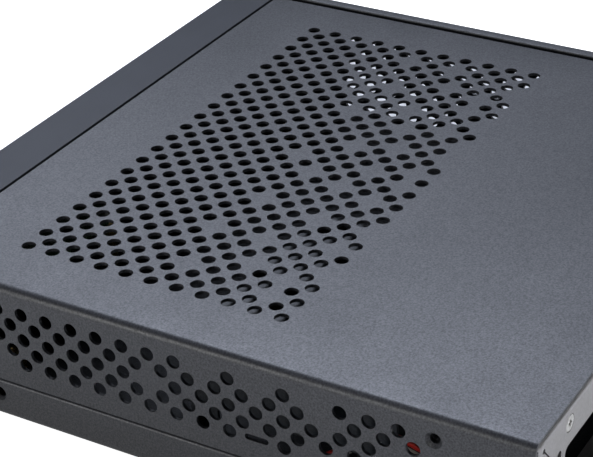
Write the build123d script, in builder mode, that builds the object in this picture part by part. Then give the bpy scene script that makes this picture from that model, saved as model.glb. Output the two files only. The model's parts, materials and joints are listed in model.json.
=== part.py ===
from build123d import *

import os
from math import pi, radians, tan

# Main board that the case is built round, and the room round it, in millimetres
board_size = 170.18
board_near_gap = 12.885
board_far_gap = 23.935
board_rear_gap = 1.5
board_front_gap = 12.62
board_hole_side_inset = 6.35
board_rear_to_far_hole = 10.16
board_rear_to_near_hole = 33.02
board_hole_front_inset = 5.08
board_thickness = 1.6
standoff_height = 6.35
standoff_across_flats = 5.5
standoff_bore_radius = 1.25
standoff_bore_depth = 5.0

# Overall sizes of the case
body_height = 43.0
foot_height = 3.0
bezel_depth = 16.7

# Sheet metal
sheet = 1.0
bend_inside = 1.0
slip = 0.2
seam_gap = 0.5
hem_drop = 3.0
lip_width = 4.4
lip_gap = 1.4
lip_rise = 0.3
strip_height = 12.6
cover_flange_drop = 6.0
tray_flange_rise = 4.5
shoulder_radius = 0.4
front_flange_depth = 9.0
rear_flange_depth = 9.7

# Vents: staggered rows, half a pitch apart, that thin out towards the rear
vent_pitch = 8.0
vent_diameter = 4.0
top_vent_rows = 21
top_vent_side_inset = 21.0
top_vent_far_inset = 25.9
top_vent_front_inset = 25.9
top_vents_closed = {
    10: (8, 20, 28, 38),
    11: (3, 13, 33),
    12: (18,),
    13: (23,),
    14: (8, 30, 38),
    15: (5, 17, 27, 35),
    16: (12, 20, 24),
    18: (2, 4, 16, 28, 32, 34),
    19: (9, 19, 21),
    20: (6, 12, 24, 26, 30, 36),
}
side_vent_steps = 31
side_vent_front_inset = 29.9
side_vent_drop = 7.3
side_vent_low_margin = 6.0
side_vents_closed = {
    0: (16, 20, 24),
    1: (25,),
    2: (12, 30),
    3: (29, 31),
    4: (0, 20, 24, 28, 30),
}
side_slot_step = 20
side_slot_length = 7.0
side_slot_width = 1.8
wall_vent_steps = 31
wall_vent_drop = 6.6
wall_vent_low_margin = 4.4
wall_vents_closed = {
    0: (18, 26),
    1: (23, 29),
    2: (14, 24),
    3: (27,),
    4: (20, 30),
    5: (25,),
    6: (22, 28),
    7: (19, 29),
    8: (24, 30),
}

# Countersunk fixings in the cover's side and in the tray
side_fixing_drop = 7.0
side_fixing_rear_inset = 26.0
side_fixing_front_inset = 8.0
side_fixing_radius = 1.4
side_fixing_sink_radius = 2.3
strip_fixing_height = 7.4
strip_fixing_front_inset = 27.3
side_tab_width = 28.0
front_tab_width = 12.0
clinch_nut_radius = 2.8
clinch_nut_length = 2.0

# Rear panel and the screws that hold the cover to it
io_width = 158.75
io_corner_radius = 2.0
io_top_drop = 12.8
io_below_board = 2.25
cover_screw_drop = 6.6
cover_screw_inset = 21.0
screw_head_radius = 2.5
screw_shank_radius = 1.5
screw_length = 6.0
screw_clearance = 0.1
screw_fit = 0.1
screw_tip_chamfer = 0.4
screw_recess_width = 0.8
screw_recess_reach = 1.5
screw_recess_depth = 0.9
cover_tab_width = 15.0
cover_tab_drop = 11.0
panel_edge_radius = 1.9
relief_inset = 2.8
relief_drop = 3.5
corner_relief_radius = 0.7
corner_slit_width = 0.4
slit_bow = 0.8
pilot_hole_inset = 12.4
pilot_hole_drop = 11.2
pilot_hole_radius = 1.4
rivet_radius = 1.5
rivet_head_radius = 2.6
rivet_head_height = 0.8
rivet_head_taper = 30

# Drive bracket
drive_width = 69.85
drive_side_gap = 1.1
drive_hole_spacing_x = 61.72
drive_hole_spacing_y = 76.6
drive_hole_radius = 1.6
bracket_length = 96.0
bracket_rear_gap = 4.0
bracket_skirt_length = 62.5
bracket_skirt_drop = 18.6
bracket_far_flange_drop = 8.0
bracket_wall_gap = 3.5
bracket_leg_width = 8.0
bracket_leg_reach = 8.0
bracket_slot_width = 14.0
bracket_slot_length = 52.0
bracket_slot_spacing = 20.0
bracket_screw_length = 4.0
bracket_screw_far_inset = 12.0
bracket_screw_near_inset = 34.0
bracket_screw_edge = 0.5
drive_rear_inset = 9.0
leg_inset = 7.0
rivet_edge = 3.2

# Front bezel and what shows through it
bezel_wall = 2.5
bezel_edge_radius = 1.2
bezel_corner_radius = 2.0
bezel_clearance = 0.3
boss_radius = 3.5
boss_bore_radius = 1.2
boss_bore_depth = 10.0
boss_gap = 0.2
boss_side_inset = 15.0
boss_height_inset = 7.5
bezel_screw_head_radius = 2.8
bezel_screw_head_height = 1.8
bezel_screw_length = 9.0
window_side_clearance = 1.0
window_height_clearance = 3.0

# Front board
front_board_width = 80.0
front_board_depth = 21.5
front_board_near_inset = 4.5
front_board_front_gap = 3.5
post_radius = 3.0
post_inset = 4.0
tray_post_inset = 14.0
small_screw_radius = 1.1
board_screw_bore_depth = 6.0
board_screw_length = 6.5
board_screw_head_radius = 2.6
board_screw_head_height = 1.6

# Ports, button and light
usb_width = 13.1
usb_height = 5.7
usb_length = 14.0
usb_wall = 0.4
usb_recess = 0.4
usb_spacing = 17.0
usb_first_inset = 53.5
tongue_width = 11.1
tongue_height = 1.8
tongue_rise = 0.9
tongue_reach = 9.5
tongue_root = 2.5
tongue_clearance = 0.1
button_inset = 19.5
button_radius = 6.0
button_recess = 0.2
button_length = 4.0
button_collar_radius = 7.2
button_collar_length = 1.5
button_stem_radius = 2.4
button_stem_length = 2.5
button_dish = 0.4
button_travel = 1.2
switch_size = 6.0
switch_depth = 5.0
plunger_radius = 1.7
plunger_bore_radius = 1.85
plunger_length = 4.3
plunger_reach = 2.3
plunger_end_gap = 0.4
light_inset = 37.5
light_radius = 1.5
light_recess = 0.1
light_length = 7.9
light_collar_radius = 2.3
light_collar_length = 1.0
led_size = 4.0
led_height = 5.0
led_nose = 0.8
led_gap = 0.2

# Lead from the front board to the main board
wire_radius = 0.75
wire_pitch = 2.54
header_size = 2.6
header_inset = 4.0
header_set_back = 9.0
socket_length = 11.0
pin_size = 0.64
pin_length = 6.0
pin_clearance = 0.15
pin_bore_depth = 6.5
wire_bore_depth = 3.5
wire_clearance = 0.1
plug_length = 12.0
clip_width = 5.0
clip_wall = 0.9
clip_height = 7.0
clip_places = (-19.0, -1.0)
plug_rear_inset = 23.0
plug_side_inset = 3.9
plug_z = 27.9

# Rubber feet
foot_radius = 7.0
foot_edge_radius = 0.8
foot_side_inset = 18.5
foot_end_inset = 27.0

# Sizes and places that follow from the ones above
case_width = board_near_gap + board_size + board_far_gap
case_depth = bezel_depth + board_front_gap + board_size + board_rear_gap + sheet
cover_side_drop = body_height - strip_height
x_near = case_width / 2
x_far = -x_near
y_front = -case_depth / 2
y_rear = case_depth / 2
y_seam = y_front + bezel_depth
z_base = foot_height
z_floor = z_base + sheet
z_top = z_base + body_height
z_under_cover = z_top - sheet
z_flange = z_under_cover - slip
z_seam = z_top - cover_side_drop
bend_outside = bend_inside + sheet
x_lip = x_far + lip_width
x_cover_far = x_lip + lip_gap
x_flange = x_near - sheet - slip
half_pitch = vent_pitch / 2
y_wall_inside = y_seam + sheet
front_middle = z_base + body_height / 2
front_board_top = front_middle - switch_size / 2
plate_top = z_flange - sheet - slip
plate_under = plate_top - sheet
bracket_near = x_near - bracket_wall_gap
bracket_far = bracket_near - drive_width - 2 * (sheet + drive_side_gap)
bracket_rear = y_rear - bracket_rear_gap
bracket_front = bracket_rear - bracket_length
skirt_low = plate_top - bracket_skirt_drop
drive_middle_x = (bracket_near + bracket_far) / 2
drive_middle_y = bracket_rear - drive_rear_inset - drive_hole_spacing_y / 2
board_middle_x = x_near - board_near_gap - board_size / 2
board_rear = y_rear - sheet - board_rear_gap
board_hole_reach = board_size / 2 - board_hole_side_inset
board_near = x_near - front_board_near_inset
board_far = board_near - front_board_width
board_front = y_front + bezel_wall + front_board_front_gap
board_back = board_front + front_board_depth
board_under = front_board_top - board_thickness
strip_fixing_z = z_base + strip_fixing_height
top_vent_steps = int((case_width - top_vent_side_inset - top_vent_far_inset) / half_pitch)
side_vent_rows = 1 + int((cover_side_drop - side_vent_drop - side_vent_low_margin) / half_pitch)
wall_vent_rows = 1 + int((body_height - wall_vent_drop - wall_vent_low_margin) / half_pitch)


# Helpers
def vent_sites(rows, steps, closed):
    """Give each open vent's place along the rows and across them, in the first row's frame."""
    return [
        (step * half_pitch, row * half_pitch)
        for row in range(rows)
        for step in range(row % 2, steps + 1, 2)
        if step not in closed.get(row, ())
    ]


def at_front(y):
    """Give the plane at y whose first axis is X, whose second is Z, and that faces the front."""
    return Plane.XZ.offset(-y)


def at_side(x):
    """Give the plane at x whose first axis is Y, whose second is Z, and that faces the near side."""
    return Plane.YZ.offset(x)


def at_rear(y):
    """Give the plane at y that faces the rear. Its first axis is X turned round, its second Z."""
    return Plane(origin=(0, y, 0), x_dir=(-1, 0, 0), z_dir=(0, 1, 0))


def rear_places(y, places):
    """Give a hole's location on the rear plane at y for each (x, z) place."""
    return [Location(at_rear(y) * Pos(-x, z)) for x, z in places]


def side_places(x, places):
    """Give a hole's location on the side plane at x for each (y, z) place."""
    return [Location(at_side(x) * Pos(y, z)) for y, z in places]


def round_corner(sketch, place, radius):
    """Round the sketch's corner that lies nearest to a place."""
    fillet(sketch.vertices().sort_by_distance(place)[0], radius=radius)


def save(piece, label):
    """Label a finished piece and write it."""
    piece.part.label = label
    export_step(piece.part, f"parts/{label}.step")


os.makedirs("parts", exist_ok=True)

# Vent fields
top_vents = [
    (x_near - top_vent_side_inset - along, y_seam + top_vent_front_inset + across)
    for along, across in vent_sites(top_vent_rows, top_vent_steps, top_vents_closed)
]
side_vents = [
    (y_seam + side_vent_front_inset + along, z_top - side_vent_drop - across)
    for along, across in vent_sites(side_vent_rows, side_vent_steps, side_vents_closed)
]
wall_vents = [
    (y_seam + top_vent_front_inset + along, z_top - wall_vent_drop - across)
    for along, across in vent_sites(wall_vent_rows, wall_vent_steps, wall_vents_closed)
]
side_slot = (
    y_seam + side_vent_front_inset + side_slot_step * half_pitch,
    z_top - side_vent_drop - (side_vent_rows - 1) * half_pitch,
)
side_fixing_z = z_top - side_fixing_drop
side_fixings = [
    (y_seam + side_fixing_front_inset, side_fixing_z),
    (y_rear - side_fixing_rear_inset, side_fixing_z),
]
strip_fixings = [
    (y_seam + strip_fixing_front_inset, strip_fixing_z),
    (y_rear - side_fixing_rear_inset, strip_fixing_z),
]
cover_middle = (x_cover_far + x_near) / 2
cover_screw_x = [
    x_near - cover_screw_inset,
    cover_middle,
    x_cover_far + cover_screw_inset,
]
cover_screw_z = z_top - cover_screw_drop
cover_tab_face = y_rear - sheet - slip

# Cover: one folded sheet with the top, the near side and a short flange inside the lip
with BuildPart() as top_cover:
    with BuildSketch(at_front(y_rear)):
        with BuildLine():
            FilletPolyline(
                (x_cover_far, z_top - cover_flange_drop),
                (x_cover_far, z_top),
                (x_near, z_top),
                (x_near, z_seam),
                radius=bend_outside,
            )
            offset(amount=sheet, side=Side.RIGHT)
        make_face()
    extrude(amount=case_depth - bezel_depth - seam_gap)
    with BuildSketch(at_side(x_cover_far)):
        with Locations((y_seam, z_under_cover)):
            Rectangle(
                front_flange_depth + slip, cover_flange_drop, align=(Align.MIN, Align.MAX)
            )
        with Locations((y_rear, z_under_cover)):
            Rectangle(
                rear_flange_depth + slip, cover_flange_drop, align=(Align.MAX, Align.MAX)
            )
    extrude(amount=bend_outside, mode=Mode.SUBTRACT)
    with BuildSketch(Plane.XY.offset(z_top)):
        with Locations(top_vents):
            Circle(vent_diameter / 2)
    extrude(amount=-sheet, mode=Mode.SUBTRACT)
    with BuildSketch(at_side(x_near)):
        with Locations(side_vents):
            Circle(vent_diameter / 2)
        with Locations(side_slot):
            SlotOverall(side_slot_length, side_slot_width)
    extrude(amount=-sheet, mode=Mode.SUBTRACT)
    with Locations(side_places(x_near, side_fixings)):
        CounterSinkHole(side_fixing_radius, side_fixing_sink_radius, depth=sheet)
    with BuildSketch(at_front(cover_tab_face)) as cover_tabs:
        with Locations([(x, z_top - cover_tab_drop) for x in cover_screw_x]):
            Rectangle(
                cover_tab_width,
                cover_tab_drop - sheet / 2,
                align=(Align.CENTER, Align.MIN),
            )
        fillet(cover_tabs.vertices().group_by(Axis.Y)[0], radius=bend_outside)
        with Locations([(x, cover_screw_z) for x in cover_screw_x]):
            Circle(screw_shank_radius + screw_clearance, mode=Mode.SUBTRACT)
    extrude(amount=sheet)
save(top_cover, "top_cover")

# Tray: bottom, near strip with its stepped flange, far wall with its lip, and front wall
tray_tab_top = z_under_cover - 2.0
front_wall_half = x_flange - sheet - slip
far_wall_inside = x_far + sheet
window_near = board_near + window_side_clearance
window_far = board_far - window_side_clearance
window_low = board_under - window_height_clearance
window_high = front_board_top + switch_size + window_height_clearance
standoff_places = [
    (board_middle_x - board_hole_reach, board_rear - board_rear_to_far_hole),
    (board_middle_x + board_hole_reach, board_rear - board_rear_to_near_hole),
    (board_middle_x - board_hole_reach, board_rear - board_size + board_hole_front_inset),
    (board_middle_x + board_hole_reach, board_rear - board_size + board_hole_front_inset),
]
foot_places = [
    (side * (case_width / 2 - foot_side_inset), end * (case_depth / 2 - foot_end_inset))
    for side in (-1, 1)
    for end in (-1, 1)
]
leg_places = [bracket_front + leg_inset, bracket_front + bracket_skirt_length - leg_inset]
leg_rivet_places = [(bracket_near - bracket_leg_reach + rivet_edge, y) for y in leg_places]
bezel_bosses = [
    (side * (case_width / 2 - boss_side_inset), z)
    for side in (-1, 1)
    for z in (z_base + boss_height_inset, z_top - boss_height_inset)
]
panel_rivet_places = [
    (x, y_rear - sheet - rear_flange_depth / 2)
    for x in (x_far + foot_side_inset, cover_middle, x_near - foot_side_inset)
]

with BuildPart() as chassis_tray:
    with BuildSketch(at_front(y_rear - slip)) as tray_section:
        with BuildLine():
            Polyline(
                (x_flange, z_seam + tray_flange_rise),
                (x_flange, z_seam - seam_gap),
                (x_near, z_seam - seam_gap),
                (x_near, z_base),
                (x_far, z_base),
                (x_far, z_top + lip_rise),
                (x_lip, z_top + lip_rise),
                (x_lip, z_top - hem_drop),
                (x_lip - sheet, z_top - hem_drop),
                (x_lip - sheet, z_under_cover + lip_rise),
                (far_wall_inside, z_under_cover + lip_rise),
                (far_wall_inside, z_floor),
                (x_near - sheet, z_floor),
                (x_near - sheet, z_seam - seam_gap - sheet),
                (x_flange - sheet, z_seam - seam_gap - sheet),
                (x_flange - sheet, z_seam + tray_flange_rise),
                close=True,
            )
        make_face()
        for outer in ((x_near, z_base), (x_far, z_base), (x_far, z_top + lip_rise)):
            round_corner(tray_section, outer, bend_outside)
        for inner in (
            (x_near - sheet, z_floor),
            (far_wall_inside, z_floor),
            (far_wall_inside, z_under_cover + lip_rise),
        ):
            round_corner(tray_section, inner, bend_inside)
        round_corner(tray_section, (x_near, z_seam - seam_gap), shoulder_radius)
        round_corner(tray_section, (x_lip, z_top + lip_rise), shoulder_radius)
    extrude(amount=case_depth - bezel_depth - slip)
    with BuildSketch(at_side(x_flange)):
        with Locations((y_rear - slip, z_seam)):
            Rectangle(side_tab_width, tray_tab_top - z_seam, align=(Align.MAX, Align.MIN))
        with Locations((y_seam, z_seam)):
            Rectangle(front_tab_width, tray_tab_top - z_seam, align=(Align.MIN, Align.MIN))
    extrude(amount=-sheet)
    with BuildSketch(at_side(-front_wall_half)):
        with Locations((y_seam, z_base)):
            Rectangle(bend_outside, sheet, align=(Align.MIN, Align.MIN))
    extrude(amount=2 * front_wall_half, mode=Mode.SUBTRACT)
    with BuildSketch(at_side(-front_wall_half)):
        with BuildLine():
            FilletPolyline(
                (y_seam + front_flange_depth, z_base),
                (y_seam, z_base),
                (y_seam, z_flange),
                (y_seam + front_flange_depth, z_flange),
                radius=bend_outside,
            )
            offset(amount=sheet, side=Side.RIGHT)
        make_face()
    extrude(amount=2 * front_wall_half)
    with BuildSketch(at_front(y_wall_inside)):
        with Locations(((window_near + window_far) / 2, (window_low + window_high) / 2)):
            Rectangle(window_near - window_far, window_high - window_low)
        with Locations(bezel_bosses):
            Circle(screw_shank_radius + screw_clearance)
    extrude(amount=sheet, mode=Mode.SUBTRACT)
    with BuildSketch(at_side(x_far)):
        with Locations(wall_vents):
            Circle(vent_diameter / 2)
    extrude(amount=sheet, mode=Mode.SUBTRACT)
    with Locations(side_places(x_flange, side_fixings)):
        Hole(side_fixing_radius, depth=sheet)
    with Locations(side_places(x_near, strip_fixings)):
        CounterSinkHole(side_fixing_radius, side_fixing_sink_radius, depth=sheet)
    with BuildSketch(Plane.XY.offset(z_floor)):
        with Locations(panel_rivet_places + leg_rivet_places):
            Circle(rivet_radius)
    extrude(amount=-sheet, mode=Mode.SUBTRACT)
save(chassis_tray, "chassis_tray")

# Rear panel: a shallow pan with flanges forward, the port opening and the countersunk holes
panel_near = x_flange - sheet - slip
panel_far = far_wall_inside + slip
panel_low = z_floor
panel_high = z_flange
panel_middle = ((panel_near + panel_far) / 2, (panel_low + panel_high) / 2)
io_low = z_floor + standoff_height + board_thickness - io_below_board
io_high = z_top - io_top_drop
relief = (panel_near - relief_inset, panel_high - relief_drop)
pilot_hole = (panel_near - pilot_hole_inset, panel_high - pilot_hole_drop)
slit_middle = ((relief[0] + pilot_hole[0]) / 2 + slit_bow, (relief[1] + pilot_hole[1]) / 2 - slit_bow)
slit_end = (pilot_hole[0] + 2 * pilot_hole_radius, pilot_hole[1] - pilot_hole_radius / 2)
bracket_screw_y = bracket_rear - screw_head_radius - bracket_screw_edge
bracket_screw_places = [
    (bracket_far + bracket_screw_far_inset, bracket_screw_y),
    (bracket_near - bracket_screw_near_inset, bracket_screw_y),
]

with BuildPart() as rear_panel:
    with BuildSketch(at_front(y_rear)):
        with Locations(panel_middle):
            RectangleRounded(panel_near - panel_far, panel_high - panel_low, bend_outside)
    extrude(amount=rear_flange_depth)
    fillet(rear_panel.faces().sort_by(Axis.Y)[-1].edges(), radius=panel_edge_radius)
    offset(amount=-sheet, openings=rear_panel.faces().sort_by(Axis.Y)[0])
    with BuildSketch(at_front(y_rear)):
        with Locations((board_middle_x, (io_low + io_high) / 2)):
            RectangleRounded(io_width, io_high - io_low, io_corner_radius)
        with Locations(relief):
            Circle(corner_relief_radius)
        with Locations(pilot_hole):
            Circle(pilot_hole_radius)
        with BuildLine() as slit_line:
            ThreePointArc(relief, slit_middle, slit_end)
        SlotArc(slit_line.edge(), corner_slit_width)
    extrude(amount=sheet, mode=Mode.SUBTRACT)
    with Locations(rear_places(y_rear, [(x, cover_screw_z) for x in cover_screw_x])):
        CounterSinkHole(screw_shank_radius + screw_clearance, screw_head_radius, depth=sheet)
    with BuildSketch(Plane.XY.offset(z_flange)):
        with Locations([(x, y_rear - sheet) for x in cover_screw_x]):
            Rectangle(
                cover_tab_width + 2 * bend_inside,
                rear_flange_depth,
                align=(Align.CENTER, Align.MAX),
            )
    extrude(amount=-bend_outside, mode=Mode.SUBTRACT)
    with BuildSketch(at_front(y_rear)):
        with Locations((panel_far, panel_high)):
            Rectangle(
                x_lip + slip - panel_far,
                panel_high - (z_top - hem_drop - slip),
                align=(Align.MIN, Align.MAX),
            )
    extrude(amount=rear_flange_depth, mode=Mode.SUBTRACT)
    with Locations(Location((0, 0, z_flange))):
        with Locations(bracket_screw_places):
            CounterSinkHole(screw_shank_radius + screw_clearance, screw_head_radius, depth=sheet)
    with BuildSketch(Plane.XY.offset(z_floor)):
        with Locations(panel_rivet_places):
            Circle(rivet_radius)
    extrude(amount=sheet, mode=Mode.SUBTRACT)
save(rear_panel, "rear_panel")

# Rivets through the tray's bottom and the rear panel's lower flange or the bracket's feet
with BuildPart() as tray_rivets:
    with BuildSketch(Plane.XY.offset(z_base)):
        with Locations(panel_rivet_places + leg_rivet_places):
            Circle(rivet_radius)
    extrude(amount=2 * sheet)
    with BuildSketch(Plane.XY.offset(z_floor + sheet)):
        with Locations(panel_rivet_places + leg_rivet_places):
            Circle(rivet_head_radius)
    extrude(amount=rivet_head_height, taper=rivet_head_taper)
    with BuildSketch(Plane.XY.offset(z_base)):
        with Locations(panel_rivet_places + leg_rivet_places):
            Circle(rivet_head_radius)
    extrude(amount=-rivet_head_height, taper=rivet_head_taper)
save(tray_rivets, "tray_rivets")


def sunk_screw_profile(length):
    """Draw half of a countersunk screw, its flat head at the origin and its shank down -Y."""
    with BuildLine() as outline:
        Polyline(
            (0, 0),
            (screw_head_radius - screw_fit, 0),
            (screw_shank_radius, -sheet),
            (screw_shank_radius, screw_tip_chamfer - length),
            (screw_shank_radius - screw_tip_chamfer, -length),
            (0, -length),
            close=True,
        )
    make_face(outline.edges())


def cross_recess():
    """Draw the cross that is sunk into a screw's head."""
    Rectangle(2 * screw_recess_reach, screw_recess_width)
    Rectangle(screw_recess_width, 2 * screw_recess_reach)


# Countersunk screws that hold the rear panel to the cover's tabs
with BuildPart(mode=Mode.PRIVATE) as cover_screw:
    with BuildSketch(Plane.XZ):
        sunk_screw_profile(screw_length)
    revolve(axis=Axis.Z)
    with BuildSketch():
        cross_recess()
    extrude(amount=-screw_recess_depth, mode=Mode.SUBTRACT)
with BuildPart() as cover_screws:
    with Locations(rear_places(y_rear, [(x, cover_screw_z) for x in cover_screw_x])):
        add(cover_screw.part)
save(cover_screws, "cover_screws")

# Clinch nuts behind the cover's rear tabs, where the screws end
with BuildPart() as cover_nuts:
    with BuildSketch(at_front(cover_tab_face - sheet)):
        with Locations([(x, cover_screw_z) for x in cover_screw_x]):
            Circle(clinch_nut_radius)
            Circle(screw_shank_radius + screw_clearance, mode=Mode.SUBTRACT)
    extrude(amount=clinch_nut_length)
save(cover_nuts, "cover_nuts")

# Clinch nuts inside the tray's near tabs, behind the countersunk holes in the cover's side
with BuildPart() as side_nuts:
    with BuildSketch(at_side(x_flange - sheet)):
        with Locations(side_fixings):
            Circle(clinch_nut_radius)
            Circle(side_fixing_radius - screw_clearance, mode=Mode.SUBTRACT)
    extrude(amount=-clinch_nut_length)
save(side_nuts, "side_nuts")

# Hexagonal standoffs for the main board
with BuildPart() as board_standoffs:
    with BuildSketch(Plane.XY.offset(z_floor)):
        with Locations(standoff_places):
            RegularPolygon(standoff_across_flats / 2, 6, major_radius=False)
    extrude(amount=standoff_height)
    with BuildSketch(Plane.XY.offset(z_floor + standoff_height)):
        with Locations(standoff_places):
            Circle(standoff_bore_radius)
    extrude(amount=-standoff_bore_depth, mode=Mode.SUBTRACT)
save(board_standoffs, "board_standoffs")

# Drive bracket: a plate under the cover with a near skirt on two legs and a far flange
with BuildPart() as drive_bracket:
    with BuildSketch(at_front(bracket_rear)):
        with BuildLine():
            FilletPolyline(
                (bracket_far, plate_top - bracket_far_flange_drop),
                (bracket_far, plate_top),
                (bracket_near, plate_top),
                (bracket_near, skirt_low),
                radius=bend_outside,
            )
            offset(amount=sheet, side=Side.RIGHT)
        make_face()
    extrude(amount=bracket_length)
    with BuildSketch(at_side(bracket_near)):
        with Locations((bracket_front + bracket_skirt_length, plate_top)):
            Rectangle(bracket_length, bracket_skirt_drop, align=(Align.MIN, Align.MAX))
    extrude(amount=-bend_outside, mode=Mode.SUBTRACT)
    for leg_y in leg_places:
        with BuildSketch(at_front(leg_y + bracket_leg_width / 2)):
            with BuildLine():
                FilletPolyline(
                    (bracket_near, skirt_low),
                    (bracket_near, z_floor),
                    (bracket_near - bracket_leg_reach, z_floor),
                    radius=bend_outside,
                )
                offset(amount=sheet, side=Side.RIGHT)
            make_face()
        extrude(amount=bracket_leg_width)
    with BuildSketch(Plane.XY.offset(z_floor)):
        with Locations(leg_rivet_places):
            Circle(rivet_radius)
    extrude(amount=sheet, mode=Mode.SUBTRACT)
    with BuildSketch(Plane.XY.offset(plate_top)):
        with Locations((drive_middle_x, drive_middle_y)):
            with GridLocations(bracket_slot_spacing, 0, 3, 1):
                SlotOverall(bracket_slot_length, bracket_slot_width, rotation=90)
            with GridLocations(drive_hole_spacing_x, drive_hole_spacing_y, 2, 2):
                Circle(drive_hole_radius)
        with Locations(bracket_screw_places):
            Circle(screw_shank_radius + screw_clearance)
    extrude(amount=-sheet, mode=Mode.SUBTRACT)
save(drive_bracket, "drive_bracket")

# Countersunk screws that hold the bracket to the rear panel's upper flange, and their nuts
with BuildPart(mode=Mode.PRIVATE) as bracket_screw:
    with BuildSketch(Plane.XZ):
        sunk_screw_profile(bracket_screw_length)
    revolve(axis=Axis.Z)
    with BuildSketch():
        cross_recess()
    extrude(amount=-screw_recess_depth, mode=Mode.SUBTRACT)
with BuildPart() as bracket_screws:
    with Locations([(x, y, z_flange) for x, y in bracket_screw_places]):
        add(bracket_screw.part)
save(bracket_screws, "bracket_screws")

with BuildPart() as bracket_nuts:
    with BuildSketch(Plane.XY.offset(plate_under)):
        with Locations(bracket_screw_places):
            Circle(clinch_nut_radius)
            Circle(screw_shank_radius + screw_clearance, mode=Mode.SUBTRACT)
    extrude(amount=-clinch_nut_length)
save(bracket_nuts, "bracket_nuts")

# Rubber feet
with BuildPart() as rubber_feet:
    with BuildSketch():
        with Locations(foot_places):
            Circle(foot_radius)
    extrude(amount=foot_height)
    fillet(rubber_feet.edges().group_by(Axis.Z)[0], radius=foot_edge_radius)
save(rubber_feet, "rubber_feet")

# Front bezel: a moulded shell, open at the rear, with screw bosses and board bosses inside
button_place = (x_near - button_inset, front_middle)
light_place = (x_near - light_inset, front_middle)
usb_places = [
    (x_near - usb_first_inset - step * usb_spacing, front_board_top + usb_height / 2)
    for step in range(2)
]
bezel_post_places = [
    (x, board_front + post_radius) for x in (board_far + post_inset, board_near - post_inset)
]
tray_post_places = [
    (x, board_back - post_radius) for x in (board_far + post_inset, board_near - tray_post_inset)
]

with BuildPart() as front_bezel:
    with BuildSketch(at_front(y_seam)):
        with Locations((0, front_middle)):
            RectangleRounded(case_width, body_height, bezel_corner_radius)
    extrude(amount=bezel_depth)
    fillet(front_bezel.faces().sort_by(Axis.Y)[0].edges(), radius=bezel_edge_radius)
    offset(amount=-bezel_wall, openings=front_bezel.faces().sort_by(Axis.Y)[-1])
    with BuildSketch(at_front(y_front)):
        with Locations(button_place):
            Circle(button_radius + bezel_clearance)
        with Locations(light_place):
            Circle(light_radius + bezel_clearance)
        with Locations(usb_places):
            Rectangle(usb_width + 2 * bezel_clearance, usb_height + 2 * bezel_clearance)
    extrude(amount=-bezel_wall, mode=Mode.SUBTRACT)
    with BuildSketch(at_front(y_seam - boss_gap)):
        with Locations(bezel_bosses):
            Circle(boss_radius)
    extrude(amount=bezel_depth - bezel_wall - boss_gap)
    with BuildSketch(at_front(y_seam - boss_gap)):
        with Locations(bezel_bosses):
            Circle(boss_bore_radius)
    extrude(amount=boss_bore_depth, mode=Mode.SUBTRACT)
    with BuildSketch(Plane.XY.offset(board_under)):
        with Locations(bezel_post_places):
            Circle(post_radius)
    extrude(amount=z_base + bezel_wall - board_under)
    with BuildSketch(Plane.XY.offset(board_under)):
        with Locations(bezel_post_places):
            Circle(boss_bore_radius)
    extrude(amount=-board_screw_bore_depth, mode=Mode.SUBTRACT)
save(front_bezel, "front_bezel")


def pan_screw_profile(head_radius, head_height, length):
    """Draw half of a screw with a rounded head, its seat at the origin and its shank down -Y."""
    with BuildLine() as outline:
        Polyline(
            (head_radius, head_height / 2),
            (head_radius, 0),
            (small_screw_radius, 0),
            (small_screw_radius, -length),
            (0, -length),
            (0, head_height),
        )
        ThreePointArc(
            (0, head_height),
            (head_radius * 0.7, head_height * 0.86),
            (head_radius, head_height / 2),
        )
    make_face(outline.edges())


# Screws from inside the front wall into the bezel's bosses
with BuildPart(mode=Mode.PRIVATE) as bezel_screw:
    with BuildSketch(Plane.XZ):
        pan_screw_profile(bezel_screw_head_radius, bezel_screw_head_height, bezel_screw_length)
    revolve(axis=Axis.Z)
with BuildPart() as bezel_screws:
    with Locations(rear_places(y_wall_inside, bezel_bosses)):
        add(bezel_screw.part)
save(bezel_screws, "bezel_screws")

# Front board, its posts on the tray and its screws
with BuildPart() as front_board:
    with BuildSketch(Plane.XY.offset(board_under)):
        with Locations(((board_near + board_far) / 2, (board_front + board_back) / 2)):
            RectangleRounded(front_board_width, front_board_depth, small_screw_radius)
        with Locations(bezel_post_places + tray_post_places):
            Circle(screw_shank_radius, mode=Mode.SUBTRACT)
    extrude(amount=board_thickness)
save(front_board, "front_board")

with BuildPart() as board_posts:
    with BuildSketch(Plane.XY.offset(z_floor)):
        with Locations(tray_post_places):
            Circle(post_radius)
    extrude(amount=board_under - z_floor)
    with BuildSketch(Plane.XY.offset(board_under)):
        with Locations(tray_post_places):
            Circle(boss_bore_radius)
    extrude(amount=-board_screw_bore_depth, mode=Mode.SUBTRACT)
save(board_posts, "board_posts")

with BuildPart(mode=Mode.PRIVATE) as board_screw:
    with BuildSketch(Plane.XZ):
        pan_screw_profile(board_screw_head_radius, board_screw_head_height, board_screw_length)
    revolve(axis=Axis.Z)
with BuildPart() as board_screws:
    with Locations([(x, y, front_board_top) for x, y in bezel_post_places + tray_post_places]):
        add(board_screw.part)
save(board_screws, "board_screws")

# Two front sockets: folded shells that are closed at the rear, and the tongues inside them
usb_front = y_front + usb_recess
with BuildPart() as usb_shells:
    with BuildSketch(at_front(usb_front)):
        with Locations(usb_places):
            Rectangle(usb_width, usb_height)
    extrude(amount=-usb_length)
    with BuildSketch(at_front(usb_front)):
        with Locations(usb_places):
            Rectangle(usb_width - 2 * usb_wall, usb_height - 2 * usb_wall)
    extrude(amount=usb_wall - usb_length, mode=Mode.SUBTRACT)
save(usb_shells, "usb_shells")

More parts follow.
